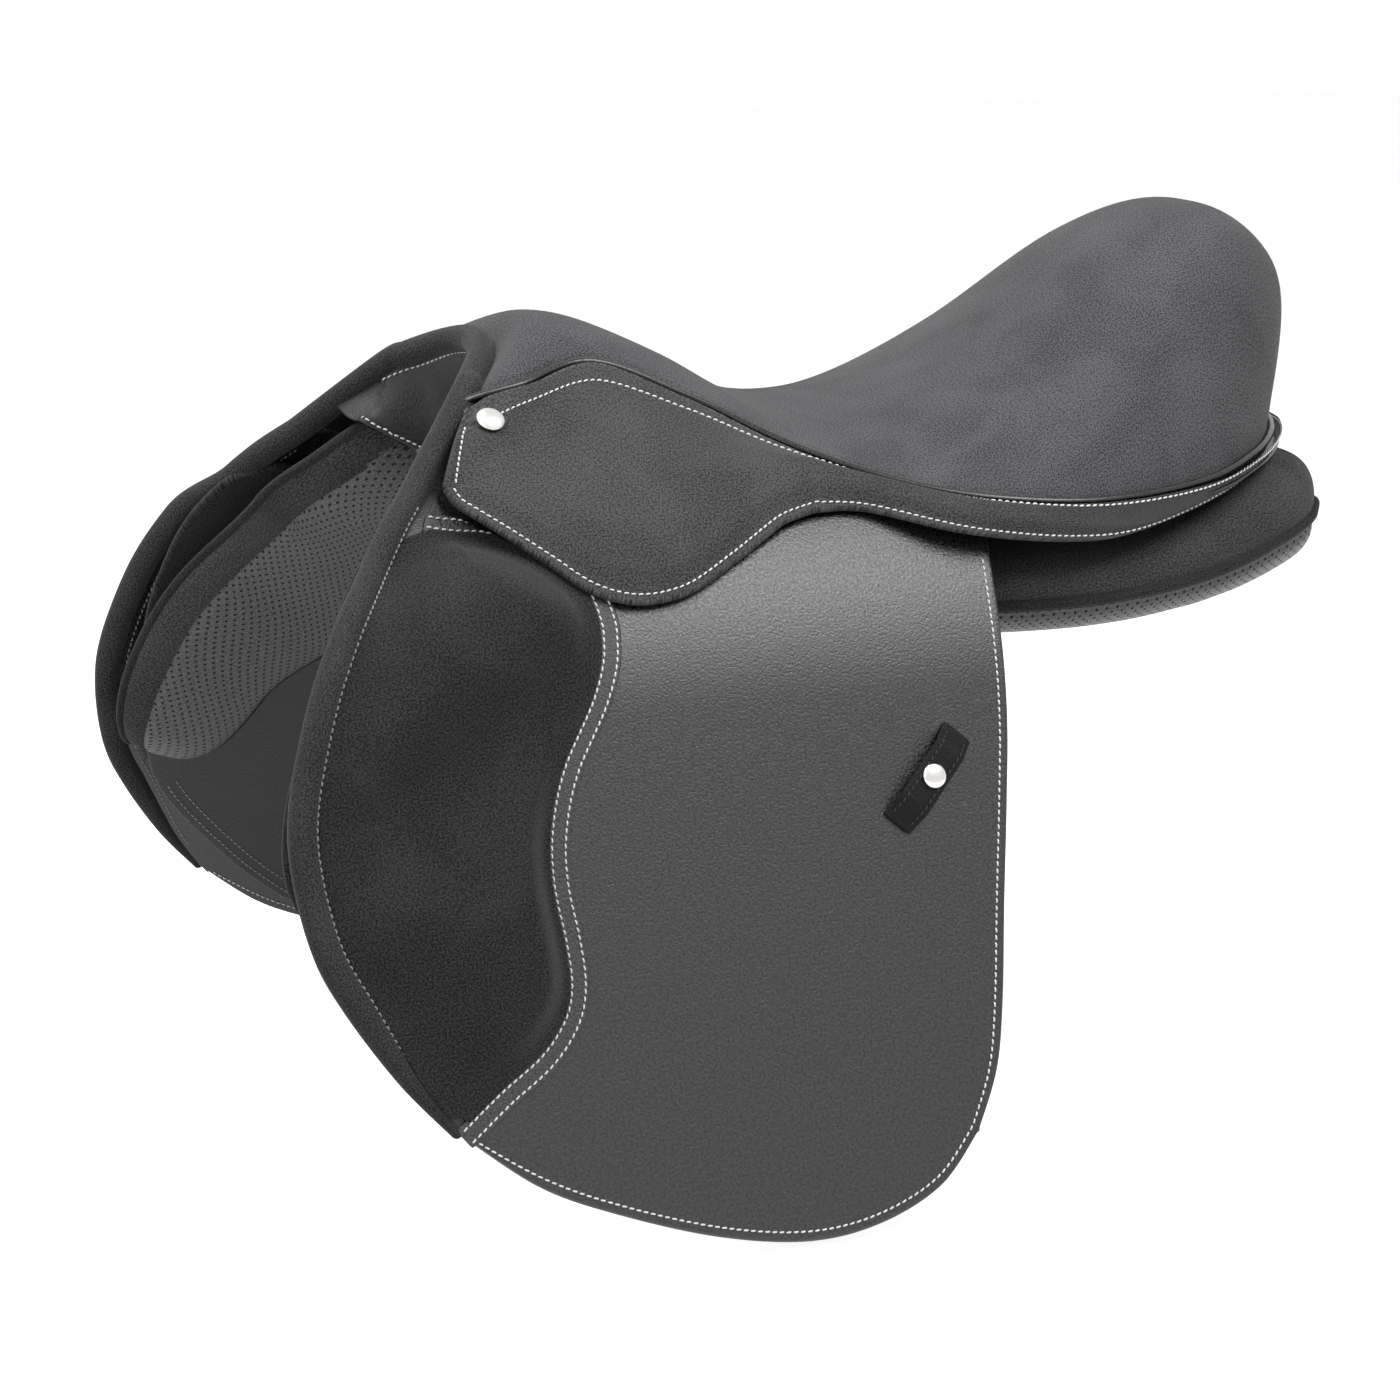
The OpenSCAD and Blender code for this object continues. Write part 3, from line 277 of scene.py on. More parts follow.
def tube(name, path, radius, material, sides=20, ref=(0, 0, 1), caps="se"):
    """Round tube along a path; caps says which of its start and end are rounded."""
    path = np.asarray(path, float)
    t, b, c = frames(path, np.array(ref, float))
    r = np.broadcast_to(np.asarray(radius, float), len(path)).copy()
    # A cap stops just short of its pole, where a small flat face closes it
    turns = np.linspace(0, 1, CAP_RINGS + 1)[1:] * math.pi / 2 * 0.96
    for mark, i, way in (("s", 0, -1), ("e", -1, 1)):
        if mark in caps:
            extra = path[i] + way * r[i] * np.sin(turns)[:, None] * t[i]
            widths = r[i] * np.cos(turns)
            order = slice(None, None, way)
            join = (lambda old, new: np.concatenate([new, old] if way < 0 else [old, new]))
            path, r = join(path, extra[order]), join(r, widths[order])
            t, b, c = (join(g, np.repeat(g[i][None], CAP_RINGS, 0)) for g in (t, b, c))
    rings = path[:, None] + r[:, None, None] * around(sides, b[:, None], c[:, None])
    girth = 2 * math.pi * r.max() * np.arange(sides) / sides
    uv = np.stack(np.broadcast_arrays(lengths(path)[:, None], girth), -1)
    return make(name, rings, ring_faces(len(path), sides), material, uv)


print("faces of a tube of 3 rings of 8:", len(ring_faces(3, 8)))

# %% [markdown]
# A stitch leaves the leather at one end and goes back in at the other. Each is a small arched mesh, because
# raised thread catches the light along an edge as no painted line does.

# %% Stitches
STITCH_PITCH, STITCH_L, THREAD_R = 3.3, 2.5, 0.42
STITCH_SLANT = math.radians(8)


def stitches(name, rows, material):
    """Rows of arched threads, each row given by its points and the surface's normals there."""
    reach = np.array([-1, -0.72, -0.3, 0.3, 0.72, 1]) * STITCH_L / 2
    rise = np.array([-0.9, 0.25, 0.7, 0.7, 0.25, -0.9]) * THREAD_R
    width = np.array([0.35, 0.85, 1, 1, 0.85, 0.35]) * THREAD_R
    points = []
    for path, normals in rows:
        along = lengths(path)
        at = lambda g, s: np.stack([np.interp(s, along, g[:, i]) for i in range(3)], -1)
        for s in np.arange(STITCH_PITCH / 2, along[-1], STITCH_PITCH):
            up = unit(at(normals, s))
            go = unit(at(path, s + 0.8) - at(path, s - 0.8))
            side = unit(np.cross(up, go))
            go = math.cos(STITCH_SLANT) * go + math.sin(STITCH_SLANT) * side
            side = unit(np.cross(up, go))
            mid = at(path, s) + reach[:, None] * go + rise[:, None] * up
            points.append(mid[:, None] + width[:, None, None] * around(6, side, up))
    one = ring_faces(6, 6)
    faces = [[36 * n + i for i in face] for n in range(len(points)) for face in one]
    print(name, len(points), "stitches")
    return make(name, np.concatenate(points), faces, material)


print("stitches in 100 mm:", len(np.arange(STITCH_PITCH / 2, 100, STITCH_PITCH)))

# %% [markdown]
# ## Covers over foam
# A sewn cover stands proud between its seams, because the foam under it pushes out. Cloth shows that: an
# even, coarse copy of the piece is sewn down at its seams and blown up a little, and the fine mesh then
# moves as the copy did, by 2 or 3 mm at most.

# %% Cloth
CLOTH_VOXEL, CLOTH_PRESSURE, CLOTH_FRAMES = 5 * MM, 4, 20
CARRY_R, CARRY_N = 6 * MM, 16


def nearest(points):
    """A tree that finds the points nearest to a place."""
    tree = KDTree(len(points))
    for i, p in enumerate(points):
        tree.insert(p, i)
    tree.balance()
    return tree


def blow(obj, free, limit):
    """Moves the free vertices of a padded piece as its simulated cover moves, by limit mm at most."""
    scene = bpy.context.scene
    points = np.array([v.co for v in obj.data.vertices])
    rough = put("rough", obj.data.copy())
    even = rough.modifiers.new("even", "REMESH")
    even.mode = "VOXEL"
    even.voxel_size = CLOTH_VOXEL
    bpy.context.view_layer.objects.active = rough
    bpy.ops.object.modifier_apply(modifier="even")
    start = np.array([v.co for v in rough.data.vertices])
    fine = nearest(points)
    sewn = rough.vertex_groups.new(name="sewn")
    sewn.add([i for i, p in enumerate(start) if not free[fine.find(p)[1]]], 1.0, "ADD")
    cloth = rough.modifiers.new("cloth", "CLOTH").settings
    cloth.vertex_group_mass = "sewn"
    cloth.use_pressure = True
    cloth.uniform_pressure_force = CLOTH_PRESSURE
    cloth.effector_weights.gravity = 0
    for number in range(1, CLOTH_FRAMES + 1):
        scene.frame_set(number)
    blown = rough.evaluated_get(bpy.context.evaluated_depsgraph_get()).data
    shift = np.array([v.co for v in blown.vertices]) - start
    size = np.linalg.norm(shift, axis=1, keepdims=True)
    shift *= np.minimum(1, limit * MM / np.maximum(size, 1e-9))
    coarse = nearest(start)
    for i in np.flatnonzero(free):
        found = coarse.find_n(points[i], CARRY_N)
        weight = np.exp(-(np.array([d for _, _, d in found]) / CARRY_R) ** 2)
        points[i] += weight @ shift[[k for _, k, _ in found]] / weight.sum()
    obj.data.vertices.foreach_set("co", points.ravel())
    obj.data.update()
    bpy.data.objects.remove(rough)
    scene.frame_set(1)
    print(obj.name, "cover moved mm, mean and most:", (size.mean() / MM).round(2), (size.max() / MM).round(2))


def inner_part(rows, cols, total, edge=3):
    """Marks the vertices of a shell's outer face that lie inside its seams."""
    mark = np.zeros(total, bool)
    face = np.zeros((rows, cols), bool)
    face[edge:-edge, edge:-edge] = True
    mark[:rows * cols] = face.ravel()
    return mark


print("covers are blown up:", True)

# %% [markdown]
# ## Colours and materials
# Colours are picked as sRGB hex and turned to linear light by one function. The suede is a
# synthetic with a brushed nap: its fibres catch light at grazing angles, and strokes of the hand leave
# faint lighter and darker clouds. The real nap is about 0.2 mm, too fine for this picture, so its speckle
# is coarsened to 0.9 mm.

# %% Node helper and suede


def rgb(code):
    """Linear colour from an sRGB hex code."""
    parts = [int(code[i:i + 2], 16) / 255 for i in (1, 3, 5)]
    return [c / 12.92 if c <= 0.04045 else ((c + 0.055) / 1.055) ** 2.4 for c in parts] + [1]


def add(tree, kind, inputs=None, **settings):
    """A shader node with its settings, and its inputs set or linked."""
    node = tree.nodes.new("ShaderNode" + kind)
    for key, value in settings.items():
        setattr(node, key, value)
    for key, value in (inputs or {}).items():
        if isinstance(value, bpy.types.NodeSocket):
            tree.links.new(value, node.inputs[key])
        else:
            node.inputs[key].default_value = value
    return node


def new_material(name, **inputs):
    """A Principled material: the material, its tree and its shader node."""
    material = bpy.data.materials.new(name)
    material.use_nodes = True
    shader = material.node_tree.nodes["Principled BSDF"]
    for key, value in inputs.items():
        shader.inputs[key.replace("_", " ")].default_value = value
    return material, material.node_tree, shader


SPECKLE, CLOUD = 0.9, 42


def suede(name, dark, light):
    """Brushed suede: a fine speckle, soft clouds and a sheen at the edges; its sizes are in mm."""
    material, tree, shader = new_material(name, Roughness=0.92, Sheen_Weight=0.16, Sheen_Roughness=0.42,
                                          Specular_IOR_Level=0.06)
    uv = add(tree, "TexCoord").outputs["UV"]
    speckle = add(tree, "TexNoise", {"Vector": uv, "Scale": 1 / SPECKLE, "Detail": 3, "Roughness": 0.7})
    clouds = add(tree, "TexNoise", {"Vector": uv, "Scale": 1 / CLOUD, "Detail": 4, "Roughness": 0.55,
                                    "Distortion": 0.5})
    both = add(tree, "Mix", {"Factor": 0.87, "A": clouds.outputs["Fac"], "B": speckle.outputs["Fac"]})
    tone = add(tree, "MapRange", {"Value": both.outputs["Result"], "From Min": 0.42, "From Max": 0.58})
    colour = add(tree, "Mix", {"Factor": tone.outputs["Result"], "A": rgb(dark), "B": rgb(light)},
                 data_type="RGBA")
    bump = add(tree, "Bump", {"Height": speckle.outputs["Fac"], "Strength": 0.5, "Distance": 0.4 * MM})
    tree.links.new(colour.outputs["Result"], shader.inputs["Base Color"])
    tree.links.new(bump.outputs["Normal"], shader.inputs["Normal"])
    return material


seat_suede = suede("seat_suede", "#2d2d2f", "#656567")
# The skirts, bands and cantle bands are the seat's suede made darker: painted shade on sides that face away
# from the light above.
shaded_skirt_suede = suede("shaded_skirt_suede", "#28282a", "#5a5a5b")
gusset_suede = suede("gusset_suede", "#262627", "#565657")
# The rolls are the seat's suede made darker: painted shade along the flaps' front edges.
shaded_roll_suede = suede("shaded_roll_suede", "#1f1f20", "#4a4a4b")
pad_suede = suede("pad_suede", "#18181a", "#3f3f40")
print("suedes:", [m.name for m in bpy.data.materials if "suede" in m.name])

# %% [markdown]
# The flaps are a coated synthetic pressed with a leather grain: nearly black, satin, so what the eye sees
# as grey is the soft light lying on it. Real grain cells are about 0.7 mm; they are coarsened to 1.2 mm.
# The panels' bearing face has small punched holes, 1.2 mm wide and 5 mm apart in staggered rows.

# %% Grained leather
GRAIN = 1.2
PUNCH_PITCH, PUNCH_R = 5.0, 0.6


def leather(name, colour, roughness, shine=0.5, depth=0.9, holes=False):
    """Grained leather, punched with staggered holes where it is asked for."""
    material, tree, shader = new_material(name, Roughness=roughness, Specular_IOR_Level=shine)
    uv = add(tree, "TexCoord").outputs["UV"]
    noise = add(tree, "TexNoise", {"Vector": uv, "Scale": 1 / GRAIN, "Detail": 2, "Roughness": 0.6})
    grain = noise.outputs["Fac"]
    gloss = add(tree, "MapRange", {"Value": grain, "From Min": 0.36, "From Max": 0.64,
                                   "To Min": roughness - 0.09, "To Max": roughness + 0.12}).outputs["Result"]
    normal = add(tree, "Bump", {"Height": grain, "Strength": depth, "Distance": 0.6 * MM}).outputs["Normal"]
    flecks = add(tree, "MapRange", {"Value": grain, "From Min": 0.4, "From Max": 0.6, "To Min": 0.3,
                                    "To Max": 2.0})
    tone = add(tree, "VectorMath", {0: rgb(colour)[:3], "Scale": flecks.outputs["Result"]},
               operation="SCALE").outputs[0]
    if holes:
        scale = 1 / PUNCH_PITCH
        size = add(tree, "VectorMath", {0: uv, 1: (scale, scale, 0)}, operation="MULTIPLY")
        dots = []
        for shift in (0, 0.5):
            moved = add(tree, "VectorMath", {0: size.outputs[0], 1: (shift, shift, 0)})
            cell = add(tree, "VectorMath", {0: moved.outputs[0]}, operation="FRACTION")
            off = add(tree, "VectorMath", {0: cell.outputs[0], 1: (0.5, 0.5, 0)}, operation="DISTANCE")
            dots.append(off.outputs["Value"])
        near = add(tree, "Math", {0: dots[0], 1: dots[1]}, operation="MINIMUM")
        edge = PUNCH_R / PUNCH_PITCH
        left = add(tree, "MapRange", {"Value": near.outputs[0], "From Min": edge, "From Max": edge * 1.25})
        solid = left.outputs["Result"]
        tone = add(tree, "Mix", {"Factor": solid, "A": rgb("#020202"), "B": tone},
                   data_type="RGBA").outputs["Result"]
        gloss = add(tree, "Mix", {"Factor": solid, "A": 1.0, "B": gloss}).outputs["Result"]
        normal = add(tree, "Bump", {"Height": solid, "Strength": 0.8, "Distance": 0.6 * MM,
                                    "Normal": normal}).outputs["Normal"]
    for output, socket in ((tone, "Base Color"), (gloss, "Roughness"), (normal, "Normal")):
        tree.links.new(output, shader.inputs[socket])
    return material


flap_leather = leather("flap_leather", "#161618", 0.34, shine=0.66, depth=0.5)
trim_leather = leather("trim_leather", "#2a2a2c", 0.42)
cover_leather = leather("cover_leather", "#1d1d1f", 0.45, shine=0.4)
panel_leather = leather("panel_leather", "#3a3a3c", 0.4, holes=True)
strap_leather = leather("strap_leather", "#101011", 0.55, shine=0.15)
piping = leather("piping", "#111112", 0.24, depth=0.1)
print("leathers:", flap_leather.name, panel_leather.name, piping.name)

# %% [markdown]
# The rest are plain stuffs: waxed polyester thread, polished nickel for the nails, plated steel, moulded
# nylon for the tree, and woven webbing, whose ribs come from a wave across its width.

# %% Thread, metals, plastic and webbing
white_thread = new_material("white_thread", Base_Color=rgb("#efede7"), Roughness=0.6)[0]
grey_thread = new_material("grey_thread", Base_Color=rgb("#8c8b88"), Roughness=0.6)[0]
dark_thread = new_material("dark_thread", Base_Color=rgb("#0e0e0f"), Roughness=0.5)[0]
polished_nickel = new_material("polished_nickel", Base_Color=rgb("#dcdad6"), Metallic=1.0, Roughness=0.27)[0]
bar_steel = new_material("bar_steel", Base_Color=rgb("#b4b6b8"), Metallic=1.0, Roughness=0.3)[0]
tree_plastic = new_material("tree_plastic", Base_Color=rgb("#1d1d1f"), Roughness=0.5)[0]
webbing, web_tree, web_shader = new_material("webbing", Base_Color=rgb("#6f6a5e"), Roughness=0.85)
RIB = 2.2
# At a scale of 1 this node draws about 3.2 waves to a unit
WAVES = 3.2
web_uv = add(web_tree, "TexCoord").outputs["UV"]
ribs = add(web_tree, "TexWave", {"Vector": web_uv, "Scale": 1 / RIB / WAVES})
web_bump = add(web_tree, "Bump", {"Height": ribs.outputs["Fac"], "Strength": 0.6, "Distance": 0.6 * MM})
web_tree.links.new(web_bump.outputs["Normal"], web_shader.inputs["Normal"])
print("materials:", len(bpy.data.materials))

# %% [markdown]
# ## The seat
# A close-contact seat is foam over the tree, covered in suede that is pulled down to a welt all round.
# The mesh follows the CAD cover: a middle line from pommel to cantle, an edge line along the welt and a
# dome between them. Its edge dips into the seam, as cloth does when it is sewn to a cord.

# %% Seat form
SEAT_L, SEAT_FORE, SEAT_HW = 441, 188, 140
RAIL_Z, HEAD_Z, POMMEL_Z, CANTLE_Z = 70, 129, 146, 187
WELT = [(0, 0.6, 0.518, 0), (0.085, 0.46, 0.678, 0), (0.18, 0.35, 0.777, 0), (0.28, 0.47, 0.555, 0),
        (0.37, 0.67, 0.285, 0), (0.46, 0.85, 0.1, 0), (0.55, 0.97, 0, 0), (0.67, 1, 0, -0.031),
        (0.8, 0.9, 0, -0.007), (0.89, 0.72, 0, 0.049), (0.95, 0.5, 0, 0.089), (0.985, 0.27, 0, 0.113),
        (1, 0.06, 0, 0.121)]
RIDGE = [(0.115, 0.937, 0), (0.15, 1, 0), (0.205, 0.937, 0), (0.29, 0.715, 0), (0.37, 0.457, 0),
         (0.46, 0.383, 0), (0.555, 0, 0.313), (0.68, 0, 0.552), (0.815, 0, 0.888), (0.925, 0, 0.992),
         (1.01, 0, 0.784), (1.025, 0, 0.473), (1.002, 0, 0.137)]
BASE = [(0.12, 0.953, 0), (0.15, 1, 0), (0.205, 0.89, 0), (0.29, 0.509, 0), (0.37, 0.208, 0),
        (0.46, 0.05, 0), (0.555, 0, 0), (0.68, 0, 0.017), (0.815, 0, 0.121), (0.915, 0, 0.241),
        (0.965, 0, 0.273), (0.985, 0, 0.201), (0.99, 0, 0.081)]
BASE_IN, BASE_DROP = 4, 6
WELT_DRAW = np.array([10, -18, 6.5])


def seat_at(shares):
    """Places from shares of the seat's length, half width and the rises of its two ends."""
    a = np.asarray(shares, float)
    z = RAIL_Z + a[:, 2] * (POMMEL_Z - RAIL_Z) + a[:, 3] * (CANTLE_Z - RAIL_Z)
    return np.stack([a[:, 0] * SEAT_L - SEAT_FORE, a[:, 1] * SEAT_HW, z], -1)


welt_pts = seat_at(WELT)
ridge_pts = seat_at([(x, 0, f, r) for x, f, r in RIDGE])
base_pts = seat_at([(x, 0, f * (HEAD_Z - RAIL_Z) / (POMMEL_Z - RAIL_Z), r) for x, f, r in BASE])
# The roll's line over the pommel, from the middle to the side
POMMEL_PTS = seat_at([(0.09, 0, 0.838, 0), (0.086, 0.1, 0.826, 0), (0.073, 0.225, 0.772, 0),
                      (0.05, 0.35, 0.683, 0), (0.032, 0.435, 0.6, 0)])


def edge_out(points, t):
    """Outward direction in plan of an edge that runs to the rear."""
    d = change(lambda s: curve(points, s), t)
    return unit(np.stack([-d[..., 1], d[..., 0], 0 * d[..., 0]], -1))


def welt_at(t):
    """The sewn edge; its front end is drawn in to the roll on the pommel."""
    return curve(welt_pts, t) + (1 - ease(0, 0.1, t))[..., None] * WELT_DRAW


def dome(middle, edge, u, t):
    """Places across the seat from its middle line, u 0, to its edge, u 1 or -1."""
    f = np.abs(u) ** mix(2.2, 3, ease(0.45, 0.75, t))
    a, b = curve(middle, t), edge
    return np.stack([mix(a[..., 0], b[..., 0], f), u * b[..., 1], mix(a[..., 2], b[..., 2], f)], -1)


def seat_point(t, u):
    """Places on the seat's cover, t along it and u across."""
    p = dome(ridge_pts, welt_at(t), u, t)
    hem = (1 - np.abs(u)) * np.maximum(welt_at(t)[..., 1], 30)
    p[..., 2] -= 2.2 * (1 - ease(0, 7, hem)) ** 2
    # The front edge is drawn forward and tucked under the roll
    y = np.abs(p[..., 1])
    tuck = np.stack([np.interp(y, POMMEL_PTS[:, 1], POMMEL_PTS[:, 0]) + 2, p[..., 1],
                     np.interp(y, POMMEL_PTS[:, 1], POMMEL_PTS[:, 2]) - 6], -1)
    return mix(p, tuck, ((1 - ease(0, 0.05, t)) * (1 - ease(66, 84, y)))[..., None])


def base_point(t, u, drop=0):
    """Places on the foam's underside, or some way below it."""
    edge = curve(welt_pts, t) - BASE_IN * edge_out(welt_pts, t) - BASE_DROP * UP
    return dome(base_pts, edge, u, t) - drop * UP


def spread(u):
    """Column parameters crowded towards both edges."""
    return np.sin(u * math.pi / 2) * 0.35 + u * 0.65


print("seat's middle line mm:", round(lengths(ridge_pts)[-1]))

# %% Seat


def dress(obj, body, slot, *nodes, fill=None):
    """Rides a piece on its body, if one is given, and hides the CAD nodes that it replaces; slot and fill are
    not used.
    """
    if body:
        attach(obj, body)
    if nodes:
        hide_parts(*nodes)


SEAT_ROWS, SEAT_COLS = 120, 90
v, u = grid(SEAT_ROWS, SEAT_COLS)
u = spread(1 - 2 * u)
seat_top = seat_point(v, u)
# The nap is measured from the middle line, which lies between the two middle columns
mid_cols = slice(SEAT_COLS // 2 - 1, SEAT_COLS // 2 + 1)
middle = seat_top[:, mid_cols].mean(1)
wide = lengths(seat_top)
seat_uv = np.stack([lengths(middle)[:, None] + seat_top[..., 0] - middle[:, :1],
                    wide - wide[:, mid_cols].mean(1, keepdims=True)], -1)
seat = shell("seat", seat_top, base_point(v, u), seat_suede, bulge=0.1, uv=seat_uv)
blow(seat, inner_part(SEAT_ROWS, SEAT_COLS, len(seat.data.vertices), 4), 3)
dress(seat, "saddle", "seat_suede", "seat_cover", "seat_foam", fill=0.9)
print("seat vertices", len(seat.data.vertices))

# %% [markdown]
# The welt is a cord in a strip of leather, sewn in all round the seat. A tube along the seam makes the cord.
# The strip runs on as a flange between the seat and the bands, so no gap shows beside the cord.

# %% Welt
WELT_R, FLANGE_T = 2.0, 0.8
t = np.linspace(0, 1, 150)
half = welt_at(t) + 2.2 * edge_out(welt_pts, t) - 0.7 * UP
# Its front end is tucked in under the roll
half[0] = (-180, 64, 113)
welt_path = np.concatenate([half * [1, -1, 1], half[::-1]])
welt = tube("welt", welt_path, WELT_R, piping)
dress(welt, "saddle", "piping", "seat_welt")
t = np.linspace(0.03, 1, 150)
edge, out = welt_at(t), edge_out(welt_pts, t)
flange = np.stack([edge + w * out - (2.3 + 0.5 * w) * UP for w in np.linspace(0.3, 6.3, 5)], 1)
flange = np.concatenate([flange * [1, -1, 1], flange[::-1]])
welt_flange = shell("welt_flange", flange, flange - FLANGE_T * UP, piping)
dress(welt_flange, "saddle", "piping")
print("welt length mm", round(lengths(welt_path)[-1]))

# %% [markdown]
# ## The flap's form
# Both flaps hang on the same form: an arc over the panel, then straight down at a splay. A flap is flat
# leather rolled on that form, so each place on it is an x along the saddle and a distance s below the
# bend line, with d the layer outwards. Distances in x and s are true, so a stitch row is just an outline
# moved in by the width of its seam.

# %% Flap form
SPLAY = math.radians(19)
BEND_R, BEND_Y, BEND_Z = 205, 172, -10
FLAP_W, FLAP_UP, FLAP_L, FLAP_X = 341, 160, 232, -292
FLAP_T, ROLL_R, TRIM_T, SKIRT_T = 3.5, 6.5, 1.6, 4.5
FLAP_OUT = FLAP_T / 2
LAYER_GAP = 0.35
PAD_IN = FLAP_OUT + LAYER_GAP
SKIRT_IN = FLAP_OUT + 2.6
ROLL_LAYER = ROLL_R - 1.3 * FLAP_T
FOLD_S, SKIRT_FOLD_S = -45, -112
SIDES = (("near", -1), ("off", 1))


def slope(s):
    """Angle at which the form faces at s."""
    return SPLAY - np.minimum(s, 0) / BEND_R


def lay(q, d=0.0):
    """Places on the flap's form, d outwards from the middle of the leather."""
    q = np.asarray(q, float)
    a, low = slope(q[..., 1]), np.maximum(q[..., 1], 0)
    y = BEND_Y + low * math.sin(SPLAY) - BEND_R * (math.cos(SPLAY) - np.cos(a))
    z = BEND_Z - low * math.cos(SPLAY) + BEND_R * (np.sin(a) - math.sin(SPLAY))
    return np.stack([q[..., 0], y + d * np.cos(a), z + d * np.sin(a)], -1)


def lay_out(q):
    """Outward directions on the flap's form."""
    a = slope(np.asarray(q)[..., 1])
    return np.stack([0 * a, np.cos(a), np.sin(a)], -1)


def lay_down(q):
    """Downward directions along the flap's form."""
    a = slope(q[..., 1])
    return np.stack([0 * a, np.sin(a), -np.cos(a)], -1)


def flap_pts(shares):
    """Places in x and s from shares of the flap's width and of its upper and lower length."""
    a = np.asarray(shares, float)
    return np.stack([a[:, 0] * FLAP_W + FLAP_X, np.where(a[:, 1] < 0, FLAP_UP, FLAP_L) * a[:, 1]], -1)


def on(side, points):
    """Points built for the off side, mirrored to the near side where asked."""
    return points * np.array([1, side, 1.0])


front_pts = flap_pts([(0.285, -1), (0.237, -0.805), (0.187, -0.645), (0.136, -0.464), (0.084, -0.281),
                      (0.041, -0.087), (0.006, 0.11), (0.001, 0.235), (0.017, 0.38), (0.05, 0.49),
                      (0.108, 0.625), (0.168, 0.73)])
bottom_pts = flap_pts([(0.168, 0.73), (0.27, 0.835), (0.37, 0.905), (0.5, 0.97), (0.62, 1), (0.72, 0.985),
                       (0.81, 0.93), (0.87, 0.84)])
rear_pts = flap_pts([(1, -0.435), (0.993, -0.281), (0.982, 0.05), (0.966, 0.22), (0.945, 0.41),
                     (0.925, 0.6), (0.905, 0.73), (0.87, 0.84)])
top_pts = flap_pts([(0.3, -0.768), (0.36, -0.681), (0.5, -0.623), (0.72, -0.623), (0.88, -0.515)])
# Lower edge of the skirt, which hides where the flap bends in
hem_low = np.array([(-198, -110.5), (-195.4, -103), (-188.5, -96), (-176, -84.5), (-162, -71.5), (-144, -56),
                    (-123, -49.2), (-99, -52.6), (-74, -66), (-58, -76), (-46, -83), (-31, -87.4)])
DIP, SINK, BAR_S = 10, 21, -92.2


def dip(s):
    """How far the front edge lies in towards the panel, between the pommel and the fold."""
    return DIP * ease(-46.4, -83.5, s) * (1 - ease(-143.8, -171.7, s))


def sink(q):
    """How far the upper flap lies in, at its front edge and to its nails on the tree."""
    hem = np.interp(q[..., 0], hem_low[:, 0], hem_low[:, 1])
    start = np.minimum(FOLD_S * 1.15, hem - 2)
    nails = SINK * ease(0, 1, (q[..., 1] - start) / np.minimum(BAR_S + 8 - start, -8))
    nails = nails * (1 - ease(-40, 20, q[..., 0]))
    return mix(dip(q[..., 1]), nails, ease(-203.3, -155.6, q[..., 0]))


print("flap foot at", lay(bottom_pts[4]).round().tolist(), "fold at", lay([0, FOLD_S]).round().tolist())

# %% [markdown]
# ## Flaps
# Each flap is one piece of grained leather from its nails on the tree down to the foot, under the roll at
# its front. It crosses the fold where it lifts. White rows of thread run 3.4 mm inside its edge, on both
# faces.

# %% Flaps
STITCH_IN = 3.4


def roll_size(t):
    """Radius of the roll along the front edge: it runs out into the flap's edge at the foot."""
    return ROLL_R * (1 - 0.6 * ease(0.8, 1, t))


def inset_by(points, widths):
    """A curve moved to its right by a width that changes along it."""
    return points + widths[:, None] * (inset(points, 1) - points)


front_t = np.linspace(1 / 11, 1, 60)
flap_front = inset_by(curve(front_pts, front_t), 1.15 * roll_size(front_t))
head = np.concatenate([flap_front[:1], top_pts, rear_pts[:1]])
hem = np.concatenate([flap_front[-1:], bottom_pts[1:]])
v, u = grid(130, 110)
flap_q = patch(head, hem, flap_front, rear_pts, u, v)
edge_row = np.concatenate([inset(part_of(rear_pts, 0.08, 0.985, 60), -STITCH_IN),
                           inset(part_of(bottom_pts, 0.04, 0.985, 60), STITCH_IN)[::-1]])


def bend_with_flap(obj):
    """Bakes the place of a piece that crosses the flap's fold into its mesh."""
    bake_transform(obj)


def layered(name, side, q, high, low, material, **more):
    """A shell on the flap's form, between two layers of it."""
    more.setdefault("uv", q)
    return shell(name, on(side, lay(q, high)), on(side, lay(q, low)), material, **more)


def sewn_row(side, q, d, way=1):
    """A row for thread on the flap's form: its places on layer d and the directions that they face."""
    return on(side, lay(q, d)), on(side, way * lay_out(q))


for name, side in SIDES:
    flap = layered(f"{name}_flap_leather", side, flap_q, FLAP_OUT - sink(flap_q), -FLAP_OUT - sink(flap_q),
                   flap_leather, bulge=0.3)
    bend_with_flap(flap)
    dress(flap, None, "flap_leather", f"{name}_flap", f"{name}_flap_top")
    rows = [sewn_row(side, edge_row, way * FLAP_OUT - sink(edge_row), way) for way in (1, -1)]
    bend_with_flap(stitches(f"{name}_flap_stitches", rows, white_thread))

# %% [markdown]
# ## Knee pads
# The pad in front of the knee is foam under suede, with two full blocks and a slanting hollow between
# them. It is thin where the skirt lies on it, swells below the skirt's hem, and falls to its edges: to the
# roll in front and to the stitched trim behind.

# %% Knee pads
pad_rear = flap_pts([(0.437, -0.281), (0.432, -0.174), (0.41, -0.058), (0.36, 0.085), (0.335, 0.2),
                     (0.33, 0.3), (0.337, 0.4), (0.338, 0.48), (0.325, 0.54), (0.29, 0.6), (0.235, 0.655),
                     (0.19, 0.705)])
pad_top = np.array([(-215, -103), (-205, -99), (-195, -96), (-183, -92), (-168, -83), (-155, -71),
                    (-146, -57), pad_rear[0]])
PAD_T, PAD_EDGE_T = 19, 1.6
PAD_ROWS, PAD_COLS = 120, 70
front_t = np.linspace(0.19, 0.985, 60)
pad_front = inset_by(curve(front_pts, front_t), 1.9 * roll_size(front_t))
pad_front[-1] = pad_rear[-1] + [-3.5, -2]
v, u = grid(PAD_ROWS, PAD_COLS)
pad_head = np.concatenate([pad_front[:1], pad_top[1:]])
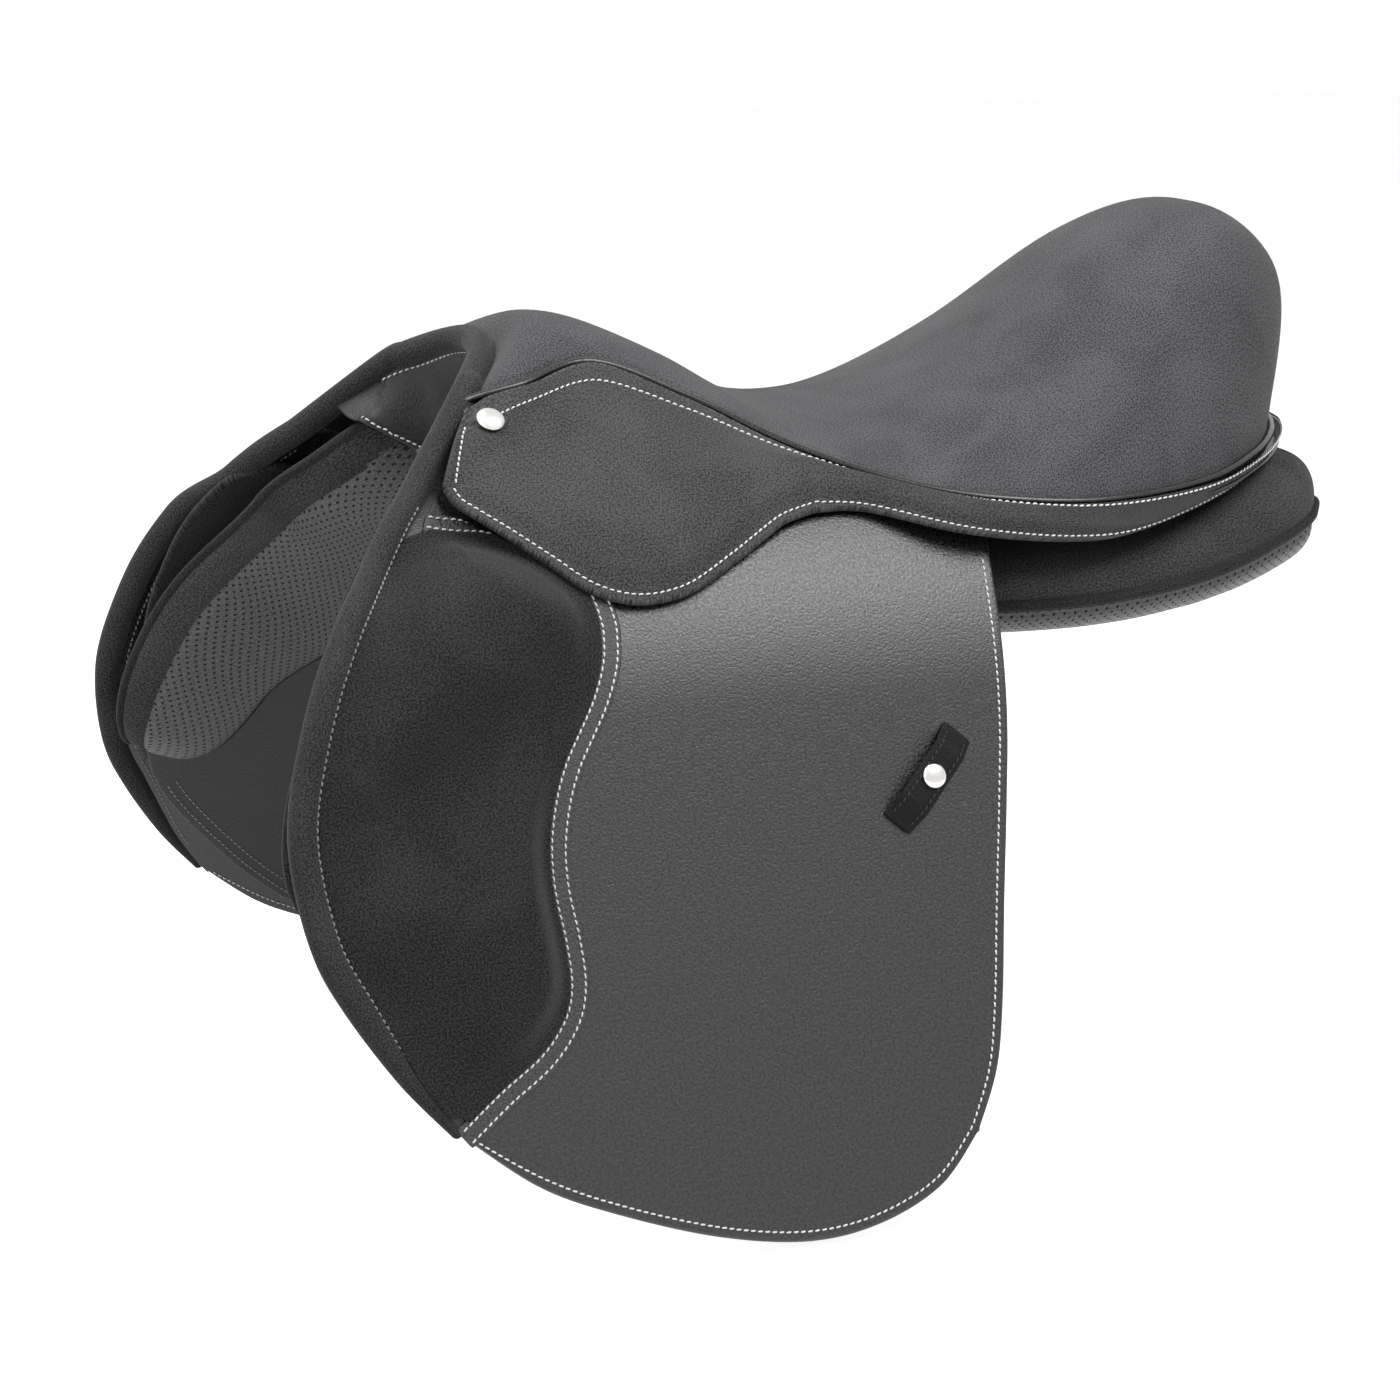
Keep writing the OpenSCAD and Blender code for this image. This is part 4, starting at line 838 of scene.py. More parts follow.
pad_q = patch(pad_head, line(pad_front[-1], pad_rear[-1]), pad_front, pad_rear, u, v)
hollow_a, hollow_b = flap_pts([(0.076, 0.185), (0.35, -0.058)])
across = unit(np.array([hollow_a[1] - hollow_b[1], hollow_b[0] - hollow_a[0]]))


def pad_height(q):
    """Thickness of the pad: full blocks, the hollow, the edges and the thin top under the skirt."""
    off = (q - hollow_a) @ across
    hollow = 1 - 0.9 * np.exp(-(off / np.where(off < 0, 17, 30)) ** 2)
    rear = ease(0, 16, gap_to(q, np.concatenate([pad_top, pad_rear[1:]])))
    front = mix(0.12, 1, ease(0, 40, gap_to(q, pad_front)))
    below = np.interp(q[..., 0], hem_low[:, 0], hem_low[:, 1])
    skirt = ease(0, 46, q[..., 1] - below + 4)
    foot = 1 - 0.55 * ease(95, 160, q[..., 1])
    return PAD_EDGE_T + (PAD_T - PAD_EDGE_T) * rear * front * skirt * hollow * foot


full = pad_height(pad_q)
base = PAD_IN - sink(pad_q)
for name, side in SIDES:
    pad = layered(f"{name}_pad", side, pad_q, base + full, base - 0.3, pad_suede, bulge=0.4)
    blow(pad, inner_part(PAD_ROWS, PAD_COLS, len(pad.data.vertices)), 2.5)
    bend_with_flap(pad)
    dress(pad, None, "pad_suede", f"{name}_knee_pad", f"{name}_pad_top", fill=0.85)
print("knee pad up to", full.max().round(1), "mm thick")

# %% [markdown]
# The trim is a narrow strip of leather sewn over the pad's edge with two rows of white thread. It starts
# at the roll, passes under the skirt and ends at the pad's foot.

# %% Trim
TRIM_W, TRIM_SEAM = 8.5, 1.2
trim_line = np.concatenate([pad_top[:-1], part_of(pad_rear, 0.02, 1, 30), [(-232, 167.2)]])
trim_line = part_of(trim_line, 0.02, 1, 140)
trim_q = np.stack([inset(trim_line, w) for w in np.linspace(-0.5, TRIM_W, 9)], 1)
trim_seams = [inset(trim_line, w) for w in (TRIM_SEAM, TRIM_W - TRIM_SEAM)]
base = FLAP_OUT - sink(trim_q)
for name, side in SIDES:
    trim = layered(f"{name}_trim", side, trim_q, base + TRIM_T, base - 0.2, trim_leather)
    bend_with_flap(trim)
    dress(trim, None, "flap_leather", f"{name}_flap_trim")
    rows = [sewn_row(side, q, FLAP_OUT - sink(q) + TRIM_T) for q in trim_seams]
    bend_with_flap(stitches(f"{name}_trim_stitches", rows, white_thread))

# %% [markdown]
# ## Rolls
# A padded suede roll edges each flap from its foot up the front, and both meet over the pommel. One tube
# per side follows the CAD path, thinner towards the foot, and a row of thread sinks into its rear seam.

# %% Rolls
front_t = np.linspace(0.09, 1, 140)
roll_r = roll_size(front_t)
roll_line = inset_by(curve(front_pts, front_t), roll_r)
roll_path = lay(roll_line, ROLL_LAYER * roll_r / ROLL_R - dip(roll_line[:, 1]))
top = part_of(np.concatenate([POMMEL_PTS, roll_path[2:5]]), 0, 4 / 6, 40)
roll_path = np.concatenate([top[:-1], roll_path[2:]])
roll_r = np.concatenate([np.full(39, ROLL_R), roll_r[2:]])
seam_t = np.linspace(0.13, 0.95, 160)
seam_line, seam_r = curve(front_pts, seam_t), roll_size(seam_t)
SEAM_TURN = math.radians(36)
roll_seam = inset_by(seam_line, seam_r * (1 + math.cos(SEAM_TURN)))
seam_side = np.concatenate([inset(seam_line, 1) - seam_line, np.zeros((160, 1))], 1)
level = seam_r * (ROLL_LAYER / ROLL_R + math.sin(SEAM_TURN)) - dip(roll_seam[:, 1])
down = seam_side[:, :1] * [1, 0, 0] + seam_side[:, 1:2] * lay_down(roll_seam)
lean = math.sin(SEAM_TURN) * lay_out(roll_seam) + math.cos(SEAM_TURN) * down
back_seam = inset_by(seam_line, 2.3 * seam_r)
for name, side in SIDES:
    roll = tube(f"{name}_roll", on(side, roll_path), roll_r, shaded_roll_suede, sides=28, ref=(1, 0, 0), caps="e")
    bend_with_flap(roll)
    dress(roll, None, "seat_suede", f"{name}_flap_roll", "pommel_roll", fill=0.9)
    rows = [(on(side, lay(roll_seam, level)), on(side, lean)),
            sewn_row(side, back_seam, -FLAP_OUT - dip(back_seam[:, 1]), -1)]
    bend_with_flap(stitches(f"{name}_roll_stitches", rows, grey_thread))

# %% [markdown]
# ## Skirts
# The skirt covers the stirrup bar: a strip of suede that starts at the welt, folds over the bar and ends in
# a rounded hem. Its front is loose, and the rear runs on around the cantle. Three pieces meet here without
# a visible seam: the fixed band above the fold, the loose skirt below it and the cantle band behind.

# %% Skirt surfaces
BAND_FOLD, BAND_START, BAND_L = 0.36, 0.004, 166
skirt_lead = np.array([(-198, SKIRT_FOLD_S), hem_low[0]])
skirt_trail = np.array([(-31.0, SKIRT_FOLD_S), hem_low[-1]])
welt_all = np.concatenate([welt_pts, seat_at([(1.004, 0, 0, 0.1215)])])
ALL = (len(welt_pts) - 1) / (len(welt_all) - 1)
cantle_low = np.concatenate([lay([hem_low[-1], (-6, -86)], SKIRT_IN),
                             seat_at([(0.51, 1.065, 0, -0.119), (0.62, 1.075, 0, -0.174),
                                      (0.7, 1.045, 0, -0.167), (0.83, 0.87, 0, -0.079), (0.93, 0.6, 0, 0.009),
                                      (0.985, 0.3, 0, 0.049), (1.005, 0.045, 0, 0.057),
                                      (1.008, 0, 0, 0.0575)])])


def hem_roll(e):
    """Thickness of the padded skirt at a distance from its hem: a rolled edge, a sewn row, then full."""
    return mix(mix(2.9, 2.0, ease(0.8, STITCH_IN - 0.6, e)), SKIRT_T, ease(STITCH_IN, STITCH_IN + 11, e))


def band_top(t, d):
    """The band's sewn edge beside the welt, d out from its inner side."""
    out = edge_out(welt_all, t)
    lean = unit(0.75 * out + UP)
    return curve(welt_all, t) + 5.0 * out - SKIRT_T * UP + d * lean


def band_point(u, v, d):
    """The band from the welt, v 0, to the fold, v 1, where it runs on into the skirt."""
    t = ALL * mix(BAND_START, BAND_FOLD, u)
    a = band_top(t, d)
    q = np.stack([mix(skirt_lead[0, 0], skirt_trail[0, 0], u), SKIRT_FOLD_S + 0 * u], -1)
    b = lay(q, SKIRT_IN + np.squeeze(d))
    chord = b - a
    w = v[..., None]
    end = np.linalg.norm(chord, axis=-1, keepdims=True) * lay_down(q)
    end[..., 0] = chord[..., 0]
    draw = (1 - ease(0, 0.1, t))[..., None] * WELT_DRAW
    return ((2 * w ** 3 - 3 * w ** 2 + 1) * a + (w ** 3 - 2 * w ** 2 + w) * chord
            + (3 * w ** 2 - 2 * w ** 3) * b + (w ** 3 - w ** 2) * end + draw * (1 - ease(0, 0.17, w)))


def band_face(u, v):
    """The band's outer side, which thins to a rolled edge at its front end."""
    return band_point(u, v, hem_roll(u * BAND_L)[..., None])


def skirt_q(u, v):
    """Places in x and s on the loose skirt."""
    return patch(line(skirt_lead[0], skirt_trail[0]), hem_low, skirt_lead, skirt_trail, u, v)


def skirt_point(u, v, full):
    """Places on the skirt's outer side, full 1, or its inner side, full 0."""
    q = skirt_q(u, v)
    return lay(q, SKIRT_IN + full * hem_roll(gap_to(q, skirt_edge)))


skirt_edge = np.concatenate([skirt_lead[:1] + [0, -30], hem_low])
print("skirt hem is", hem_roll(0.0), "mm thick, its middle", hem_roll(40.0))

# %% [markdown]
# The cantle band starts where band and skirt end, so its first column is theirs. From there it eases into its
# own line, between the welt and a low edge that rises around the cantle.

# %% Cantle band surface


def seam_column(w, full):
    """The line where skirt and band meet the cantle band, from the welt down to the hem."""
    k = np.linspace(0, 1, 60)
    one = np.ones_like(k)
    top = band_point(one, k, full * SKIRT_T * np.ones((60, 1)))
    low = skirt_point(one[:, None], k[:, None], full)[:, 0]
    pts = np.concatenate([top[:-1], low])
    s = lengths(pts)
    return np.stack([np.interp(w * s[-1], s, pts[:, i]) for i in range(3)], -1)


def cantle_plain(j, w, full):
    """The cantle band alone, from the welt, w 0, to its low edge, w 1."""
    t = mix(ALL * BAND_FOLD, 1, j)
    reach = np.linalg.norm(curve(cantle_low, j) - curve(welt_all, t), axis=-1)
    d = (full * hem_roll((1 - w) * reach))[..., None]
    out = edge_out(cantle_low, j)
    low = curve(cantle_low, j) + d * unit(out + 0.6 * UP * (1 - j[..., None]))
    return mix(band_top(t, d), low, w[..., None])


def cantle_point(j, w, full):
    """The cantle band from the seam with the skirt, j 0, to the middle of the cantle, j 1."""
    drawn = seam_column(w, full) - cantle_plain(0 * j, w, full)
    return cantle_plain(j, w, full) + drawn * (1 - ease(0, 0.4, j))[..., None]


def cantle_face(j, w):
    """The cantle band's outer side."""
    return cantle_point(j, w, 1)


def row_on(surface, u, v):
    """A row of points on a surface, with its outward normals."""
    n = unit(np.cross(change(lambda s: surface(s, v), u), change(lambda s: surface(u, s), v)))
    n *= np.sign(n[:, 1:2] + 0.2 * n[:, 2:])
    return surface(u, v), n


print("cantle band ends at", cantle_low[-1].round().tolist())

# %% [markdown]
# The loose skirt lifts at its front only: the rear stays with the cantle band, and the front swings up.

# %% Skirts
v, u = grid(26, 120)
band_outer = band_face(u, v)
band_inner = band_point(u, v, np.zeros(u.shape + (1,)))
band_s = mix(SKIRT_FOLD_S - 48, SKIRT_FOLD_S - 1, v)
v, u = grid(56, 120)
low_q = skirt_q(u, v)
band_uv = np.stack(np.broadcast_arrays(low_q[:1, :, 0], band_s), -1)
w, j = grid(40, 130)
hem_row = inset(part_of(hem_low, 0, 1, 160), STITCH_IN)
hem_layer = SKIRT_IN + hem_roll(STITCH_IN + 0 * hem_row[:, 0])
k = np.linspace(0.11, 1, 120)
m = np.linspace(0, 0.97, 160)
fixed_rows = [row_on(band_face, k, 0.16 + 0 * k), row_on(cantle_face, m, 0.1 + 0 * m),
              row_on(cantle_face, m, 0.9 + 0 * m), row_on(band_face, 0.026 + 0 * k, k)]
for name, side in SIDES:
    band = shell(f"{name}_skirt_top", on(side, band_outer), on(side, band_inner), shaded_skirt_suede, crisp="br",
                 uv=band_uv)
    dress(band, "saddle", "seat_suede", f"{name}_skirt_band")
    skirt = shell(f"{name}_skirt_flap", on(side, skirt_point(u, v, 1)), on(side, skirt_point(u, v, 0)),
                  shaded_skirt_suede, crisp="tr", uv=low_q)
    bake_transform(skirt)
    dress(skirt, None, "seat_suede", f"{name}_skirt", fill=0.8)
    cantle = shell(f"{name}_cantle_suede", on(side, cantle_face(j, w)), on(side, cantle_point(j, w, 0)),
                   shaded_skirt_suede, crisp="lr")
    dress(cantle, "saddle", "seat_suede", f"{name}_cantle_band")
    row = stitches(f"{name}_hem_stitches", [sewn_row(side, hem_row, hem_layer)], white_thread)
    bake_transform(row)
    rows = [(on(side, p), on(side, n)) for p, n in fixed_rows]
    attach(stitches(f"{name}_band_stitches", rows, white_thread), "saddle")
    print(name, "skirt", len(skirt.data.vertices), "vertices")

# %% [markdown]
# ## Nails and studs
# A nickel nail head holds the front of each skirt, and a stud closes each keeper. Both are turned domes:
# a low ball face over a short straight edge, here a profile spun about the axis. They stay where their CAD
# nodes are.

# %% Nails and studs
HEAD_EDGE, HEAD_SIDES = 0.28, 48


def turned(name, node, out, material):
    """A domed head in a node's place, facing along out, with HEAD_EDGE of its height straight."""
    points = np.array([v.co for v in frame["nodes"][node].data.vertices]) / MM
    middle = points.mean(0)
    deep = (points - middle) @ out
    radius = np.linalg.norm(points - middle - deep[:, None] * out, axis=1).max()
    foot = middle + deep.min() * out
    e = unit(np.cross(out, [1, 0, 0.2]))
    k = np.linspace(0, 1, 14)[1:] * math.pi / 2
    lift = np.concatenate([[0, HEAD_EDGE], HEAD_EDGE + (1 - HEAD_EDGE) * np.sin(k)]) * np.ptp(deep)
    size = np.concatenate([[0.97, 1], np.cos(k * 0.985)]) * radius
    rings = foot + lift[:, None, None] * out + size[:, None, None] * around(HEAD_SIDES, e, np.cross(out, e))
    return make(name, rings, ring_faces(len(lift), HEAD_SIDES), material)


nail_face = row_on(band_face, np.array([0.11]), np.array([0.185]))[1][0]
keeper_q = flap_pts([(0.857, 0.164)])[0]
for name, side in SIDES:
    nail = turned(f"{name}_nail", f"{name}_nail_head", on(side, nail_face), polished_nickel)
    dress(nail, "saddle", "polished_nickel", f"{name}_nail_head")
    stud = turned(f"{name}_stud", f"{name}_keeper_stud", on(side, lay_out(keeper_q)), polished_nickel)
    dress(stud, f"{name}_flap", "polished_nickel", f"{name}_keeper_stud")
print("nails and studs in nickel")

# %% [markdown]
# ## Keepers
# The end of the stirrup leather passes under this strap: a slanting leather loop sewn down at both ends
# and arched between them, with dark thread along its edges.

# %% Keepers
KEEPER_L, KEEPER_W, KEEPER_T, KEEPER_GAP = 50, 14, 1.5, 6
KEEPER_TURN = math.radians(-48)
go, rise = math.cos(KEEPER_TURN), math.sin(KEEPER_TURN)


def keeper_place(a, b):
    """Places on the flap from distances along and across the keeper."""
    return keeper_q + np.stack([a, b], -1) @ np.array([[go, rise], [-rise, go]])


def keeper_low(a):
    """Layer of the loop's underside, at a distance from its middle."""
    return FLAP_OUT + 0.15 + KEEPER_GAP * ease(0.5, 0.28, np.abs(a) / KEEPER_L)


v, u = grid(60, 14)
along, over = (v - 0.5) * KEEPER_L, (u - 0.5) * KEEPER_W
crown = 0.5 * (1 - (2 * over / KEEPER_W) ** 4)
low = keeper_low(along)
k = np.linspace(-0.47, 0.47, 60) * KEEPER_L
for name, side in SIDES:
    keeper = layered(f"{name}_keeper_strap", side, keeper_place(along, over), low + KEEPER_T + crown, low,
                     strap_leather, uv=np.stack([along, over], -1))
    dress(keeper, f"{name}_flap", "flap_leather", f"{name}_keeper")
    rows = [sewn_row(side, keeper_place(k, 0 * k + w * (KEEPER_W / 2 - 2)), keeper_low(k) + KEEPER_T + 0.4)
            for w in (-1, 1)]
    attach(stitches(f"{name}_keeper_stitches", rows, dark_thread), f"{name}_flap")

# %% [markdown]
# ## Panels
# The panels are the cushions on the horse's back: a wing down each shoulder, a narrow neck under the head
# and a full bearing cushion back to the cantle. Suede gussets make their sides, and the face is punched
# leather with a sewn groove around it. One loft follows the CAD stations, and its material changes with the
# angle around the section.

# %% Panel form
PANEL_W, PANEL_T, PANEL_Y = 92, 52, 89
SWEAT_OUT, SWEAT_T = -13.05, 2.5
PANEL_OUT = SWEAT_OUT - SWEAT_T - LAYER_GAP
GULLET_R, GULLET_Z = 81, 29.5
# Stations of the wing: place on the flap's form, depth under it, half width and half thickness
wing = np.array([(0.098, 0.35, 0.05, 0.1, 0.1), (0.115, 0.28, 0.03, 0.24, 0.2), (0.145, 0.17, 0, 0.32, 0.25),
                 (0.19, 0.03, 0, 0.34, 0.26), (0.245, -0.174, 0.03, 0.32, 0.26),
                 (0.305, -0.42, 0.2, 0.28, 0.22), (0.36, -0.652, 0.37, 0.24, 0.18)])
# Stations of the neck: length, angle and depth in the arch. Stations of the bearing: length, width and
# height. Then for both half width, half thickness and tilt in degrees
neck = np.array([(0.11, 71, 0.203, 0.24, 0.18, 54), (0.195, 74.8, 0.219, 0.28, 0.24, 40),
                 (0.3, 82.3, 0.145, 0.35, 0.33, 28)])
bearing = np.array([(0.42, 0.944, 0.64, 0.43, 0.41, 19), (0.55, 0.999, 0.547, 0.48, 0.46, 14),
                    (0.68, 1.007, 0.539, 0.5, 0.48, 12), (0.8, 0.944, 0.611, 0.47, 0.5, 10),
                    (0.9, 0.834, 0.773, 0.41, 0.52, 8), (0.96, 0.724, 0.899, 0.33, 0.5, 6),
                    (0.995, 0.676, 0.935, 0.2, 0.34, 6)])
wing_q = flap_pts(wing[:, :2])
wing_mid = lay(wing_q, PANEL_OUT - (wing[:, 2] + wing[:, 4]) * PANEL_T)
wing_rows = np.concatenate([wing_mid, wing[:, 3:4] * PANEL_W, wing[:, 4:5] * PANEL_T,
                            -lay_out(wing_q)[:, 1:]], 1)


def station_rows(q, y, z):
    """Middles, half sizes and facing directions of stations along the seat."""
    tilt = np.radians(q[:, 5])
    return np.stack([q[:, 0] * SEAT_L - SEAT_FORE, y, z, q[:, 3] * PANEL_W, q[:, 4] * PANEL_T, -np.sin(tilt),
                     -np.cos(tilt)], -1)


reach = GULLET_R - neck[:, 2] * PANEL_T
neck_rows = station_rows(neck, reach * np.sin(np.radians(neck[:, 1])),
                         GULLET_Z + reach * np.cos(np.radians(neck[:, 1])))
panel_rows = np.concatenate([wing_rows, neck_rows, station_rows(bearing, bearing[:, 1] * PANEL_Y,
                                                                bearing[:, 2] * PANEL_T)])


def seams(t):
    """Angles of the two seams of the face: a gusset lies along the wing's front, none at its rear edge."""
    return np.radians(8) + 0 * t, np.radians(mix(127, 173, ease(0.38, 0.5, t)))


def spow(v, e):
    """A power that keeps the sign, for sections with full corners."""
    return np.sign(v) * np.abs(v) ** e


def panel_point(t, a, grow=0.0):
    """Places around the panel: a is 0 at its outer edge and a quarter turn at the face to the horse."""
    q = curve(panel_rows, t)
    e = unit(change(lambda s: curve(panel_rows, s)[..., :3], t))
    b = unit(np.cross(e, np.stack([0 * q[..., 5], q[..., 5], q[..., 6]], -1)))
    n = np.cross(b, e)
    end = np.minimum(t, 1 - t)
    round_end = np.sqrt(1 - (1 - np.clip(end / 0.03, 0, 1)) ** 2) * 0.97 + 0.03
    # The face is drawn forward, most of all up to the gullet cover, and back along the wing's rear
    ahead = (12 + 33 * ease(0.22, 0.41, t) ** 1.5) * (1 - ease(0.41, 0.47, t))
    behind = 20 * ease(0.13, 0.23, t) * (1 - ease(0.3, 0.4, t))
    drawn = np.where(np.cos(a) < 0, ahead, behind)
    wide = ((q[..., 3] + drawn) * round_end + grow) * spow(np.cos(a), 0.78)
    deep = (q[..., 4] * round_end + grow) * spow(np.sin(a), 0.78)
    spread_out = (ease(0.3, 0.37, t) * (1 - ease(0.43, 0.49, t)) * np.maximum(-np.cos(a), 0))[..., None]
    return q[..., :3] + wide[..., None] * b + deep[..., None] * n + spread_out * np.array([5, 20, -3.5])


def seam_groove(t, a):
    """Depth of the sewn groove between the gussets and the face."""
    return 1.8 * sum(np.exp(-((a - s) / 0.055) ** 2) for s in seams(t))


ROUND, STATIONS = 96, 170
turns = 2 * math.pi * np.arange(ROUND) / ROUND
even = np.linspace(0, 1, STATIONS)
# More stations where the ends close, so that they round off smoothly
places = (1 - np.cos(even * math.pi)) / 2 * 0.6 + even * 0.4
t, a = np.meshgrid(places, turns, indexing="ij")
panel_grid = panel_point(t, a, -seam_groove(t, a))
panel_faces = ring_faces(STATIONS, ROUND)
panel_long = lengths(panel_grid[:, ROUND // 4])
panel_uv = np.stack([np.broadcast_to(panel_long[:, None], a.shape), lengths(panel_grid)], -1)
print("panel", len(panel_faces), "faces, length mm", round(panel_long[-1]))

# %% Panels
mid = a[:-1] + math.pi / ROUND
low_seam, high_seam = seams(t[:-1])
punched = ((mid > low_seam) & (mid < high_seam)).ravel()
PIPING_R = 2.6
for name, side in SIDES:
    panel = make(f"{name}_panel_cushion", on(side, panel_grid), panel_faces, panel_leather, panel_uv)
    panel.data.materials.append(gusset_suede)
    panel.data.polygons.foreach_set("material_index", np.concatenate([np.where(punched, 0, 1), [1, 1]]))
    blow(panel, (np.sin(a) > 0.15).ravel(), 2)
    dress(panel, "saddle", "panel_leather", f"{name}_panel", fill=0.85)
    k = np.linspace(0.02, 0.98, 260)
    for edge, angle in (("outer", 0.0), ("inner", math.pi)):
        path = on(side, panel_point(k, angle + 0 * k, 0.2))
        cord = tube(f"{name}_panel_piping_{edge}", path, PIPING_R, pad_suede, sides=12)
        dress(cord, "saddle", "piping")
print("punched faces:", punched.sum(), "of", len(punched))

# %% [markdown]
# ## Sweat flaps and knee blocks
# Between panel and flap hangs the sweat flap, a plain sheet with two rows of stitches at its front, and on
# its front edge sits a knee block of foam under suede.

# %% Sweat flaps and knee blocks
BLOCK_T = 8.3
sweat_front = flap_pts([(0.2, -0.377), (0.13, -0.145), (0.075, 0.1), (0.07, 0.3), (0.1, 0.47), (0.21, 0.67),
                        (0.3, 0.79)])
sweat_bottom = flap_pts([(0.3, 0.79), (0.45, 0.87), (0.6, 0.9), (0.73, 0.87), (0.82, 0.78)])
sweat_rear = flap_pts([(0.93, -0.377), (0.925, 0), (0.905, 0.25), (0.88, 0.5), (0.82, 0.78)])
v, u = grid(80, 70)
sweat_q = patch(line(sweat_front[0], sweat_rear[0]), sweat_bottom, sweat_front, sweat_rear, u, v)
sweat_edge = np.concatenate([part_of(sweat_front, 0.66, 1, 60), part_of(sweat_bottom, 0.02, 1, 60)])
block_front = np.array([(-214, -98), (-234, -89), (-246, -72), (-256, -50), (-263, -25), (-269, 2),
                        (-271, 30), (-268, 62), (-258, 86)])
block_rear = flap_pts([(0.31, -0.5), (0.3, -0.145), (0.255, 0.05), (0.215, 0.2), (0.17, 0.36)])
block_ends = [line(block_front[i], block_rear[i]) for i in (0, -1)]
v, u = grid(60, 40)
block_q = patch(*block_ends, block_front, block_rear, u, v)
swell = (1 - np.abs(2 * u - 1) ** 3) * (1 - np.abs(2 * v - 1) ** 5)
for name, side in SIDES:
    sweat = layered(f"{name}_sweat_leather", side, sweat_q, SWEAT_OUT, SWEAT_OUT - SWEAT_T, cover_leather)
    dress(sweat, "saddle", "flap_leather", f"{name}_sweat_flap")
    rows = [sewn_row(side, inset(sweat_edge, w), SWEAT_OUT - SWEAT_T, -1) for w in (STITCH_IN, STITCH_IN + 5)]
    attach(stitches(f"{name}_sweat_stitches", rows, grey_thread), "saddle")
    block = layered(f"{name}_block", side, block_q, SWEAT_OUT + 0.3 + BLOCK_T * mix(0.25, 1, swell),
                    SWEAT_OUT - SWEAT_T - 0.25, pad_suede, bulge=0.4)
    dress(block, "saddle", "pad_suede", f"{name}_knee_block", fill=0.9)

# %% [markdown]
# ## Under the saddle
# The gullet cover lines the arch in grained leather, the channel lining closes the space between the
# panels, and webs of woven tape carry the seat and the girth straps.

# %% Gullet cover
COVER_T = 1.8
cover_front = roll_path[[0, 11, 22, 31, 38]]
cover_mid = np.array([(-145.5, 0, 107), (-147, 24, 103), (-151, 42, 93), (-162, 48, 87), (-180, 49.5, 86)])
cover_lip = mix(cover_front, cover_mid, 0.6)
# At its ends the lining laps over the panels' tops
cover_lip[-2:] = (-171, 50, 97), (-193, 54, 93)
cover_rear = np.array([(-113, 0, 105), (-113, 27, 100.5), (-116, 45, 89), (-140, 49, 80), (-163, 49, 76.5)])


def cover_point(k, u):
    """The lining from the roll, u 0, round the arch's front edge and back under it, u 1."""
    edges = (cover_front, cover_lip, cover_mid, mix(cover_mid, cover_rear, 0.3), cover_rear)
    rows = np.stack([curve(p, np.abs(k)) for p in edges])
    pick = lambda i: np.take_along_axis(rows, i[None, ..., None].repeat(3, -1), 0)[0]
    mirror = np.stack([0 * k + 1, np.where(k < 0, -1.0, 1.0), 0 * k + 1], -1)
    return smooth(pick, len(edges) - 1, u) * mirror


v, u = grid(90, 40)
cover_out = cover_point(2 * v - 1, u)
inward = unit(np.cross(np.gradient(cover_out, axis=0), np.gradient(cover_out, axis=1)))
toward = GULLET_Z * UP - cover_out * [0, 1, 1]
inward *= np.sign((inward * toward).sum(-1, keepdims=True))
cover_in = cover_out + COVER_T * inward
cover = shell("arch_cover", cover_out, cover_in, cover_leather)
dress(cover, "saddle", "flap_leather", "gullet_cover")
# Thread along the lining's front edge and along both ends
arch_rows = [(cover_in[at], inward[at]) for at in (np.s_[4:-4, 4], np.s_[2, 8:], np.s_[-3, 8:])]
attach(stitches("arch_stitches", arch_rows, white_thread), "saddle")

# %% Lining and webs


def strip(name, node, t0, t1, half, depth, thick, material, slot):
    """A strip under the tree from front to cantle, hung on the foam's base."""
    v, u = grid(90, 30)
    t, w = mix(t0, t1, v), half * (1 - 2 * u)
    points = base_point(t, w, depth)
    obj = shell(name, points, base_point(t, w, depth + thick), material)
    dress(obj, "saddle", slot, node)


TREE_DROP, TREE_T, WEB_DROP, WEB_T, LINING_T = 2.8, 9, 1.9, 2, 2.5
web_depth = TREE_DROP + TREE_T + WEB_DROP
strip("seat_tape", "seat_web", 0.14, 0.8, 0.3, web_depth, WEB_T, webbing, "webbing")
strip("channel_suede", "channel_lining", 0.2, 0.84, (PANEL_Y - 0.42 * PANEL_W) / SEAT_HW,
      web_depth + WEB_T + LAYER_GAP, LINING_T, gusset_suede, "pad_suede")
STRAP_X = {end: FLAP_X + share * FLAP_W for end, share in (("front", 0.535), ("rear", 0.755))}
WEB_PAST, WEB_TOP_S, WEB_LOW_S, WEB_LAYER = 18.5, -95.2, 16.3, -10.7
v, u = grid(60, 30)
web_x = mix(STRAP_X["front"] - WEB_PAST, STRAP_X["rear"] + WEB_PAST, u)
web_q = np.stack([web_x, mix(WEB_TOP_S, WEB_LOW_S, v)], -1)
# Above the straps it lies in under the upper flap
layer = np.minimum(WEB_LAYER, -SINK * ease(FOLD_S * 1.15, BAR_S + 8, web_q[..., 1]) - FLAP_OUT - 0.7)
for name, side in SIDES:
    web = layered(f"{name}_girth_tape", side, web_q, layer, layer - WEB_T, webbing)
    dress(web, "saddle", "webbing", f"{name}_girth_web")

# %% [markdown]
# ## Girth straps
# Two straps of thick leather hang from each web, with punched holes for the girth's buckles. A flat outline
# with holes in it, given a thickness and a rounded edge, is a filled curve in Blender; its mesh is then laid
# on the flap's form. A bent row of thread sews each strap to its web.

